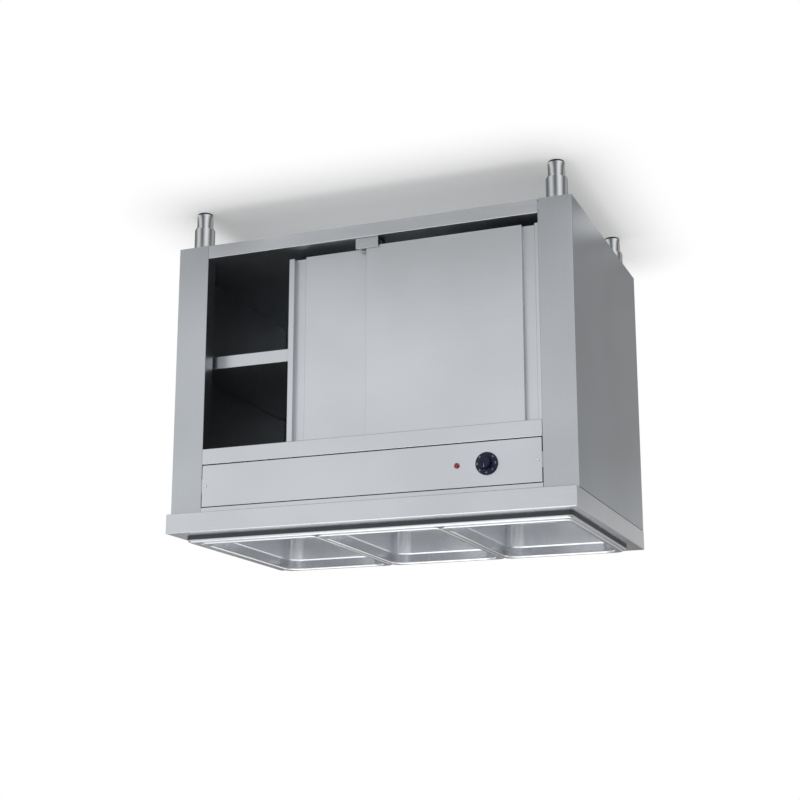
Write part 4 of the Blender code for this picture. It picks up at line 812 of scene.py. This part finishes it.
def make_base():
    """Channels, leg tubes and feet: each leg is a profile turned about its own upright axis."""
    for side in ("left", "right"):
        name = f"base_channel_{side}"
        left, front, bottom, right, back, top = sides(name)
        sheet_piece(f"{name}_sheet", ((right, bottom), (right, top), (left, top), (left, bottom)), "Y", front, back,
                    "zinc_steel", name, CHANNEL_SHEET)
    for place in CORNERS:
        name = f"leg_tube_{place}"
        left, _, bottom, right, _, top = sides(name)
        centre = axis_of(name, "Z")
        radius = (right - left) / 2
        inner, bore = radius - LEG_WALL, FOOT_RADIUS + GAP
        profile = ((inner, top), (radius, top), (radius, bottom + LEG_CONE), (bore + LEG_TIP, bottom), (bore, bottom),
                   (bore, bottom + LEG_RING), (inner, bottom + LEG_RING))
        turned(f"{name}_skin", profile, "Z", centre, "leg_steel", name, bends=mm(0.3, 2.5, 0.5, 0.2, 0.2))

        floor = sides(f"foot_{place}")[2]
        top, sole = floor + FOOT_TOP, floor + SOLE_HEIGHT
        hollow, collar, edge = FOOT_RADIUS - FOOT_WALL, inner - GAP, FOOT_RADIUS - SOLE_SETBACK
        profile = ((0, floor + FOOT_FLOOR), (hollow, floor + FOOT_FLOOR), (hollow, top), (collar, top),
                   (collar, top - FOOT_COLLAR), (FOOT_RADIUS, top - FOOT_COLLAR), (FOOT_RADIUS, sole), (edge, sole),
                   (edge, floor), (0, floor))
        turned(f"foot_{place}_core", profile, "Z", centre, "black_plastic", f"foot_{place}",
               bends=mm(0.5, 0.3, 0.3, 0.3, 0.3, 0.4, 0.3, 1.2))
        start, end, tuck = top - FOOT_COLLAR - SLEEVE_BELOW_COLLAR, sole - SLEEVE_OVERLAP, sole + SLEEVE_TUCK
        profile = ((SLEEVE_INNER, start), (SLEEVE_OUTER, start), (SLEEVE_OUTER, end), (SLEEVE_LIP, end),
                   (SLEEVE_LIP, tuck), (SLEEVE_INNER, tuck))
        turned(f"foot_{place}_sleeve", profile, "Z", centre, "leg_steel", body=f"foot_{place}",
               bends=mm(0.1, 0.6, 0.1, 0.1))


def make_controls():
    """Thermostat knob with its dial, pilot lamp and the two screws of the control panel, all turned pieces."""
    back = sides("thermostat_knob")[4]
    centre = axis_of("thermostat_knob", "Y")
    profile = mm((0, -12), (3.3, -12), (3.3, 0), (28, 0), (27.2, -4), (17.5, -4.7), (16.3, -6), (14.5, -23.5),
                 (8, -23.5), (6.8, -22.7), (0, -22.7)) + (0, back)
    turned("knob_moulding", profile, "Y", centre, "black_plastic", "thermostat_knob", KNOB_STEPS, fluted,
           mm(0.2, 0.2, 0.3, 1, 0.4, 0.7, 1.5, 0.5, 0.3))
    marks = bpy.context.scene.bain_marie_shape.dial_marks
    for mark in range(marks):
        turn = math.radians(DIAL_SWEEP * (mark / (marks - 1) - 0.5))
        place = (centre[0] + DIAL_REACH * math.sin(turn), back - DIAL_HEIGHT, centre[2] + DIAL_REACH * math.cos(turn))
        written(f"dial_{mark + 1}", str(DIAL_FIRST + DIAL_STEP * mark), DIAL_TEXT, place, turn, "white_print", "knob")
    line = mm((-0.5, 5.5), (0.5, 5.5), (0.5, 13.5), (-0.5, 13.5))
    rings = np.stack([placed("Y", centre[0] + line[:, 0], centre[2] + line[:, 1], back - KNOB_DEPTH + shift)
                      for shift in mm(-0.15, 1)])
    loft("knob_pointer", rings, "white_print", body="knob")

    left, front, _, right, back, _ = sides("pilot_lamp_lens")
    radius, seat = (right - left) / 2, front + LENS_HEIGHT
    arc = QUARTER * np.arange(DOME_STEPS) / DOME_STEPS
    dome = np.stack([radius * np.cos(arc), front + LENS_DOME * (1 - np.sin(arc))], 1)
    profile = [(0, back), (LENS_STEM, back), (LENS_STEM, seat), (radius, seat), *dome, (0, front)]
    turned("lamp_dome", profile, "Y", axis_of("pilot_lamp_lens", "Y"), "red_lens", "pilot_lamp_lens",
           SMALL_ROUND_STEPS)

    for name in ("panel_screw_left", "panel_screw_right"):
        _, front, _, _, back, _ = sides(name)
        head = mm((2, 2.2), (4, 2.2), (4, 1.4), (2.6, 0.1), (1.4, 0), (1.3, 1.2), (0, 1.3)) + (0, front)
        socket = hexagon(lambda radius, along: (radius > SOCKET_RADII[0]) & (radius < SOCKET_RADII[1])
                         & (along < front + SOCKET_DEPTH))
        turned(f"{name}_head", [(0, back), (SCREW_SHANK, back), *head], "Y", axis_of(name, "Y"), "polished_steel",
               name, SMALL_ROUND_STEPS, socket, mm(0.2, 0.2, 0.2, 0.5, 0.4, 0.1, 0.1))

    # Two shallow spot-weld buttons low on the left post, by the rail, each a flat dome
    front, bottom = sides("side_panel_left")[1], sides("bottom_shelf")[2]
    profile = mm((0, 0.3), (1.3, 0.3), (1.3, -0.05), (0.9, -0.2), (0, -0.25)) + (0, front)
    for number, height in enumerate(WELD_HEIGHTS):
        centre = (sides("control_panel")[0] - PANEL_JOINT - WELD_FROM_EDGE, 0, bottom + height)
        turned(f"spot_weld_{number + 1}", profile, "Y", centre, "element_alloy", steps=WELD_STEPS)


def make_services():
    """Behind and below: supply gland, drain cock with its lever, thermostat, bulb, lamp body and terminal block."""
    front, back = sides("cable_gland")[1], sides("cable_gland")[4]
    outer = sides("back_panel")[1] + CASE_SHEET + GAP
    radii = mm(4.5, 8, 8, 12, 12, 9.5, 6.5, 4.5)
    nut = outer + GLAND_NUT
    profile = np.stack([radii, (front, front, outer, outer, nut, nut, back, back)], 1)
    turned("gland_nut", profile, "Y", axis_of("cable_gland", "Y"), "black_plastic", "cable_gland", GLAND_STEPS,
           hexagon(lambda radius, along: radius > GLAND_FLATS_FROM), mm(0.3, 0.2, 0.5, 0.8, 0.2, 2.5))

    low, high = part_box("thermostat_bulb")
    start, _, knob_height = axis_of("thermostat_knob", "Y")
    height = knob_height - CAPILLARY_DROP
    bulb_y, bulb_z = high.y - BULB_RADIUS, low.z + BULB_RADIUS
    route = ((start, sides("thermostat_body")[4] + GAP, height), (start, bulb_y, height), (start, bulb_y, bulb_z),
             (high.x - BULB_LENGTH, bulb_y, bulb_z))
    points = filleted(route, CAPILLARY_BEND)
    ends = mm((6, 1.2), (7, 2.2), (8.5, 3.0), (10, 3.2), (76, 3.2), (78.4, 2.7), (79.6, 1.6), (80, 0.4))
    tail = np.array(route[-1]) + ends[:, :1] * np.array((1, 0, 0))
    radii = np.concatenate([np.full(len(points), CAPILLARY_RADIUS), ends[:, 1]])
    tube("bulb_and_capillary", np.concatenate([points, tail]), radii, "brass", "thermostat_bulb", (1, 1, 1))
    for node in ("thermostat_body", "terminal_block", "drain_valve_lever"):
        eased(node, SOFT_EDGE)
    for node in ("pilot_lamp_body", "drain_valve_body", "drain_valve_plug", "thermostat_spindle"):
        eased(node, FINE_EDGE)


def dress_frame():
    """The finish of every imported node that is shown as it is."""
    for name, node in frame["nodes"].items():
        material = finish(SLOT_OF[name])
        if not node.data.materials:
            node.data.materials.append(material)
        for slot in node.material_slots:
            slot.material = material


def seen_rays(tree):
    """1 for camera, glossy and transmission rays, and 0 for the rays that light the scene."""
    path = add_node(tree, "ShaderNodeLightPath").outputs
    seen = path["Is Camera Ray"]
    for kind in ("Is Glossy Ray", "Is Transmission Ray"):
        seen = add_node(tree, "ShaderNodeMath", {"operation": "MAXIMUM"}, {0: seen, 1: path[kind]}).outputs[0]
    return seen


def floor_material(look):
    """Matt white sweep: it takes the shadow near the cabinet and turns to plain white further out.

    How far out is the distance from a rectangle on the floor under the cabinet, a little towards its back.
    """
    material, tree, output = new_material("white_sweep")
    seen = seen_rays(tree)
    reach = add_node(tree, "ShaderNodeTexCoord").outputs["Object"]
    for step, value in (("SUBTRACT", SHADOW_CENTRE), ("ABSOLUTE", None), ("SUBTRACT", SHADOW_HALF),
                        ("MAXIMUM", (0, 0, 0))):
        reach = add_node(tree, "ShaderNodeVectorMath", {"operation": step, **({1: value} if value else {})},
                         {0: reach}).outputs[0]
    reach = add_node(tree, "ShaderNodeVectorMath", {"operation": "LENGTH"}, {0: reach}).outputs["Value"]
    far = add_node(tree, "ShaderNodeMapRange", {"interpolation_type": "SMOOTHSTEP", "From Min": 0,
                                                "From Max": SHADOW_FADE}, {"Value": reach}).outputs[0]
    share = add_node(tree, "ShaderNodeMath", {"operation": "MULTIPLY"}, {0: far, 1: seen}).outputs[0]
    level = add_node(tree, "ShaderNodeMath", {"operation": "MULTIPLY", 1: look.floor_glow}, {0: seen}).outputs[0]
    matt = add_node(tree, "ShaderNodeBsdfDiffuse", {"Color": (*linear("#E7E7E7"), 1)}).outputs[0]
    glow = add_node(tree, "ShaderNodeEmission", None, {"Strength": level}).outputs[0]
    near = add_node(tree, "ShaderNodeAddShader", None, {0: matt, 1: glow}).outputs[0]
    white = add_node(tree, "ShaderNodeEmission", {"Strength": 1.0}).outputs[0]
    both = add_node(tree, "ShaderNodeMixShader", None, {0: share, 1: near, 2: white}).outputs[0]
    tree.links.new(both, output.inputs[0])
    return material


def flat(name, corners, material):
    """A flat piece of the stage between its corners."""
    mesh = bpy.data.meshes.new(name)
    mesh.from_pydata(corners, [], [tuple(range(len(corners)))])
    mesh.materials.append(material)
    return new_object(name, mesh)


def reflected(name, corners, material):
    """A flat piece of the stage that only reflections see."""
    piece = flat(name, corners, material)
    piece.visible_camera = piece.visible_diffuse = piece.visible_shadow = piece.visible_transmission = False
    return piece


def card(name, first, second, level, far_level=None, heading=None, reach=(0, 1)):
    """A card between two opposite corners. Its light can change along a heading, from one reach to the next."""
    material, tree, output = new_material(name)
    glow = add_node(tree, "ShaderNodeEmission", {"Strength": level})
    if heading:
        place = add_node(tree, "ShaderNodeTexCoord").outputs["Object"]
        along = add_node(tree, "ShaderNodeVectorMath", {"operation": "DOT_PRODUCT", 1: heading}, {0: place})
        ramp = add_node(tree, "ShaderNodeMapRange", {"From Min": reach[0], "From Max": reach[1], "To Min": level,
                                                     "To Max": far_level}, {"Value": along.outputs["Value"]})
        tree.links.new(ramp.outputs[0], glow.inputs["Strength"])
    tree.links.new(glow.outputs[0], output.inputs[0])
    return reflected(name, [first, (first[0], *second[1:]), second, (second[0], *first[1:])], material)


def leg_card(place):
    """A disc on the floor round a leg, with light and dark sectors for the tube's streaks.

    Light = darkest + (1 + cos streaks (a + turn))/2 (1 + cos a)/2, with a the angle round the leg, counted from
    the side on which the photograph was taken.
    """
    centre = axis_of(f"leg_tube_{place}", "Z")
    name = f"leg_card_{place}"
    material, tree, output = new_material(name)
    point = add_node(tree, "ShaderNodeTexCoord").outputs["Object"]
    away = add_node(tree, "ShaderNodeMapping", {"vector_type": "TEXTURE", "Location": centre,
                                                "Rotation": (0, 0, -QUARTER - math.radians(CAMERA_YAW))},
                    {"Vector": point}).outputs[0]
    across = add_node(tree, "ShaderNodeSeparateXYZ", None, {0: away}).outputs
    angle = add_node(tree, "ShaderNodeMath", {"operation": "ARCTAN2"}, {0: across["Y"], 1: across["X"]}).outputs[0]
    fast = add_node(tree, "ShaderNodeMath", {"operation": "MULTIPLY_ADD", 1: LEG_STREAKS,
                                             2: math.radians(LEG_STREAKS * LEG_STREAK_TURN)}, {0: angle}).outputs[0]
    waves = {}
    for socket, turn in enumerate((fast, angle)):
        wave = add_node(tree, "ShaderNodeMath", {"operation": "COSINE"}, {0: turn}).outputs[0]
        waves[socket] = add_node(tree, "ShaderNodeMath", {"operation": "MULTIPLY_ADD", 1: 0.5, 2: 0.5},
                                 {0: wave}).outputs[0]
    both = add_node(tree, "ShaderNodeMath", {"operation": "MULTIPLY"}, waves).outputs[0]
    level = add_node(tree, "ShaderNodeMath", {"operation": "ADD", 1: LEG_DARKEST}, {0: both}).outputs[0]
    glow = add_node(tree, "ShaderNodeEmission", None, {"Strength": level}).outputs[0]
    tree.links.new(glow, output.inputs[0])
    turn = np.linspace(0, 2 * math.pi, LEG_CARD_SIDES, endpoint=False)
    disc = placed("Z", LEG_CARD_RADIUS * np.cos(turn), LEG_CARD_RADIUS * np.sin(turn), LEG_CARD_LIFT) + centre
    return reflected(name, disc.tolist(), material)


def make_world(look):
    """A pale room: plain white to the camera, greyer overhead in reflections, and dimmer where it lights."""
    world = bpy.data.worlds.new("pale_room")
    bpy.context.scene.world = world
    world.use_nodes = True
    tree = world.node_tree
    tree.nodes.clear()
    output = tree.nodes.new("ShaderNodeOutputWorld")
    place = add_node(tree, "ShaderNodeTexCoord").outputs["Generated"]
    height = add_node(tree, "ShaderNodeSeparateXYZ", None, {0: place}).outputs["Z"]
    shown = add_node(tree, "ShaderNodeMapRange", {"interpolation_type": "SMOOTHSTEP", "From Min": ROOM_FADE[0],
                                                  "From Max": ROOM_FADE[1], "To Min": 1.0,
                                                  "To Max": ROOM_OVERHEAD}, {"Value": height}).outputs[0]
    level = add_node(tree, "ShaderNodeMix", {2: look.room_light}, {0: seen_rays(tree), 3: shown}).outputs[0]
    camera = add_node(tree, "ShaderNodeLightPath").outputs["Is Camera Ray"]
    level = add_node(tree, "ShaderNodeMix", {3: 1.0}, {0: camera, 2: level}).outputs[0]
    back = add_node(tree, "ShaderNodeBackground", {"Color": (1, 1, 1, 1)}, {"Strength": level}).outputs[0]
    tree.links.new(back, output.inputs[0])


def add_lamp(name, place, target, size, power):
    """A soft rectangular lamp that faces its target."""
    data = bpy.data.lights.new(name, "AREA")
    data.shape = "RECTANGLE"
    data.size, data.size_y = size
    data.energy = power
    lamp = new_object(name, data)
    lamp.location = place
    lamp.rotation_euler = (Vector(target) - Vector(place)).to_track_quat("-Z", "Y").to_euler()


def make_camera():
    """The camera of the photograph, which is upside down, so the camera is rolled half a turn."""
    yaw, pitch = math.radians(CAMERA_YAW), math.radians(CAMERA_PITCH)
    right = Vector((math.cos(yaw), -math.sin(yaw), 0))
    ahead = Vector((math.sin(yaw) * math.cos(pitch), math.cos(yaw) * math.cos(pitch), -math.sin(pitch)))
    up = right.cross(ahead)
    data = bpy.data.cameras.new("camera")
    data.lens = LENS
    data.sensor_width = SENSOR
    data.shift_y = CAMERA_SHIFT_Y
    data.clip_end = CAMERA_SEES_TO
    camera = new_object("camera", data)
    camera.matrix_world = Matrix.Translation(CAMERA_PLACE) @ Matrix((-right, -up, -ahead)).transposed().to_4x4()
    bpy.context.scene.camera = camera


def make_stage():
    """Floor, room, lamps and camera, and the light and dark cards that only reflections see."""
    look = bpy.context.scene.bain_marie_look
    bpy.context.scene.view_settings.view_transform = "Standard"
    edge = FLOOR_REACH
    floor = flat("floor", [(-edge, -edge, 0), (edge, -edge, 0), (edge, edge, 0), (-edge, edge, 0)],
                 floor_material(look))
    cards = (
        # Beside the left panel, which they darken: one upright behind it and one on the floor
        card("side_card", (-0.6, 0.9, 0), (-2.8, 0.9, 1.8), look.card_level, 0.62, (0, 0, 1), (0.5, 0.72)),
        card("low_card", (-0.56, -0.38, CARD_LIFT), (-2.8, 0.9, CARD_LIFT), look.card_level),
        # Behind: a dark one for the worktop and a light one for the mouths of the pans
        card("back_card", (-4, 3.2, 0.95), (6, 3.2, 1.75), look.back_level),
        card("high_card", (-4, 3.2, 2.1), (6, 3.2, 3.4), look.high_level),
        # On the floor in front, so that the doors are darker at the foot and at the left
        card("front_card", (-0.4, -0.5, CARD_LIFT), (4, -2.7, CARD_LIFT), look.front_level, 1.08, (0.35, -0.937, 0),
             (0.72, 1.3)),
        card("far_card", (-0.4, -2.7, CARD_LIFT), (4, -4.4, CARD_LIFT), 0.88, 1.1, (1, 0, 0), (0.2, 1.4)),
        # Far in front and upright, for the bright line along the rim
        card("bright_card", (-3, -6, 0.9), (7, -6, 3.2), look.bright_level),
        *(leg_card(place) for place in CORNERS),
    )
    make_world(look)
    add_lamp("front_softbox", (1.3, -3.2, 3.0), (0, -0.3, 0.6), (3.0, 1.2), look.key_power)
    add_lamp("overhead", (0.2, -0.1, 3.6), (0, 0, 0), (4.0, 4.0), look.top_power)
    make_camera()


def colour_setting(label, description, text):
    """A colour in the panel, which starts as an sRGB hex colour."""
    return FloatVectorProperty(name=label, description=description, subtype="COLOR", default=linear(text))


def light_setting(label, description, value, subtype="NONE"):
    """How light a card, the room or a lamp is, in the panel."""
    return FloatProperty(name=label, description=description, default=value, min=0, subtype=subtype)


class BainMarieLook(PropertyGroup):
    """Colours of the finishes and levels of the light"""
    front: colour_setting("Front steel", "Colour of the ground fronts and doors", "#C3C6CA")
    # The case colour is set darker than the front's: painted shade for the sides and posts
    case: colour_setting("Case steel", "Colour of the side panels, posts and back", "#B1B5B9")
    top: colour_setting("Worktop steel", "Colour of the worktop and its skirt", "#C2C5C9")
    pans: colour_setting("Pan steel", "Colour of the polished pans", "#DADCDF")
    legs: colour_setting("Leg steel", "Colour of the leg tubes", "#C8CBCE")
    knob: colour_setting("Knob", "Colour of the knob's plastic", "#0B163E")
    lens: colour_setting("Lamp lens", "Colour of the pilot lamp's lens", "#B01028")
    card_level: light_setting("Side card", "Light of the dark card that the left side reflects", 0.40)
    front_level: light_setting("Front floor card", "Light of the floor card that the front's foot reflects", 0.50)
    bright_level: light_setting("Front bright card", "Light of the bright card that the rim reflects", 1.15)
    back_level: light_setting("Back card", "Light of the dark card that the worktop reflects", 0.16)
    high_level: light_setting("High back card", "Light of the card high at the back that the pans reflect", 1.3)
    floor_glow: light_setting("Floor glow", "How much lighter the near floor looks than its light", 0.31)
    room_light: light_setting("Room light", "Light from the room all round", 0.12)
    key_power: light_setting("Front softbox", "Power of the lamp in front", 20, "POWER")
    top_power: light_setting("Overhead lamp", "Power of the lamp overhead", 92, "POWER")


class BainMarieShape(PropertyGroup):
    """How finely the shapes are drawn, and the numbers of the dial"""
    fold_steps: IntProperty(name="Fold steps", description="Flats in each fold of the sheet", default=5, min=2)
    corner_steps: IntProperty(name="Corner steps", description="Flats in each corner of the worktop and pans",
                              default=14, min=3)
    round_steps: IntProperty(name="Round steps", description="Flats round each turned piece", default=72, min=12)
    dial_marks: IntProperty(name="Dial numbers", description="How many numbers the dial shows", default=7, min=2)


class BAINMARIE_OT_stage(Operator):
    """Sets up the floor, room, lamps, reflector cards and the photograph's camera"""
    bl_idname = "bain_marie.stage"
    bl_label = "Stage"

    def execute(self, context):
        make_stage()
        return {"FINISHED"}


class BAINMARIE_OT_finishes(Operator):
    """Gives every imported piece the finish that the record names"""
    bl_idname = "bain_marie.finishes"
    bl_label = "Finishes"

    def execute(self, context):
        dress_frame()
        return {"FINISHED"}


class BAINMARIE_OT_worktop(Operator):
    """Lofts the folded worktop with its raised rim"""
    bl_idname = "bain_marie.worktop"
    bl_label = "Worktop"

    def execute(self, context):
        make_worktop()
        return {"FINISHED"}


class BAINMARIE_OT_pans(Operator):
    """Lofts the three pressed pans"""
    bl_idname = "bain_marie.pans"
    bl_label = "Pans"

    def execute(self, context):
        make_pans()
        return {"FINISHED"}


class BAINMARIE_OT_well(Operator):
    """Sweeps the heater tube and folds the bars over the well"""
    bl_idname = "bain_marie.well"
    bl_label = "Well"

    def execute(self, context):
        make_well()
        return {"FINISHED"}


class BAINMARIE_OT_case(Operator):
    """Folds the side panels, the rails and the stops"""
    bl_idname = "bain_marie.case"
    bl_label = "Case"

    def execute(self, context):
        make_case()
        return {"FINISHED"}


class BAINMARIE_OT_shelves(Operator):
    """Folds the shelves and their brackets"""
    bl_idname = "bain_marie.shelves"
    bl_label = "Shelves"

    def execute(self, context):
        make_shelves()
        return {"FINISHED"}


class BAINMARIE_OT_doors(Operator):
    """Folds the sliding doors and turns their rollers"""
    bl_idname = "bain_marie.doors"
    bl_label = "Doors"

    def execute(self, context):
        make_doors()
        return {"FINISHED"}


class BAINMARIE_OT_controls(Operator):
    """Turns the knob with its dial, the pilot lamp and the panel screws"""
    bl_idname = "bain_marie.controls"
    bl_label = "Controls"

    def execute(self, context):
        make_controls()
        return {"FINISHED"}


class BAINMARIE_OT_base(Operator):
    """Turns the legs and feet and folds the channels over them"""
    bl_idname = "bain_marie.base"
    bl_label = "Base"

    def execute(self, context):
        make_base()
        return {"FINISHED"}


class BAINMARIE_OT_services(Operator):
    """Makes the gland, the drain cock and the thermostat's bulb"""
    bl_idname = "bain_marie.services"
    bl_label = "Services"

    def execute(self, context):
        make_services()
        return {"FINISHED"}


STEPS = (BAINMARIE_OT_stage, BAINMARIE_OT_finishes, BAINMARIE_OT_worktop, BAINMARIE_OT_pans, BAINMARIE_OT_well,
         BAINMARIE_OT_case, BAINMARIE_OT_shelves, BAINMARIE_OT_doors, BAINMARIE_OT_controls, BAINMARIE_OT_base,
         BAINMARIE_OT_services)


class BAINMARIE_PT_panel(Panel):
    """The settings and the steps, in the sidebar"""
    bl_label = "Bain Marie"
    bl_idname = "BAINMARIE_PT_panel"
    bl_space_type = "VIEW_3D"
    bl_region_type = "UI"
    bl_category = "Bain Marie"

    def draw(self, context):
        layout = self.layout
        for group in (context.scene.bain_marie_look, context.scene.bain_marie_shape):
            box = layout.box()
            for name in group.__annotations__:
                box.prop(group, name)
        for step in STEPS:
            layout.operator(step.bl_idname)


CLASSES = (BainMarieLook, BainMarieShape, *STEPS, BAINMARIE_PT_panel)


def register():
    """Registers the classes and gives the scene its two groups of settings."""
    for part in CLASSES:
        bpy.utils.register_class(part)
    bpy.types.Scene.bain_marie_look = PointerProperty(type=BainMarieLook)
    bpy.types.Scene.bain_marie_shape = PointerProperty(type=BainMarieShape)


def unregister():
    """Takes the settings and the classes away again."""
    del bpy.types.Scene.bain_marie_shape
    del bpy.types.Scene.bain_marie_look
    for part in reversed(CLASSES):
        bpy.utils.unregister_class(part)


def main():
    """Runs every step once."""
    register()
    for step in STEPS:
        space, name = step.bl_idname.split(".")
        getattr(getattr(bpy.ops, space), name)()


if __name__ == "__main__":
    main()
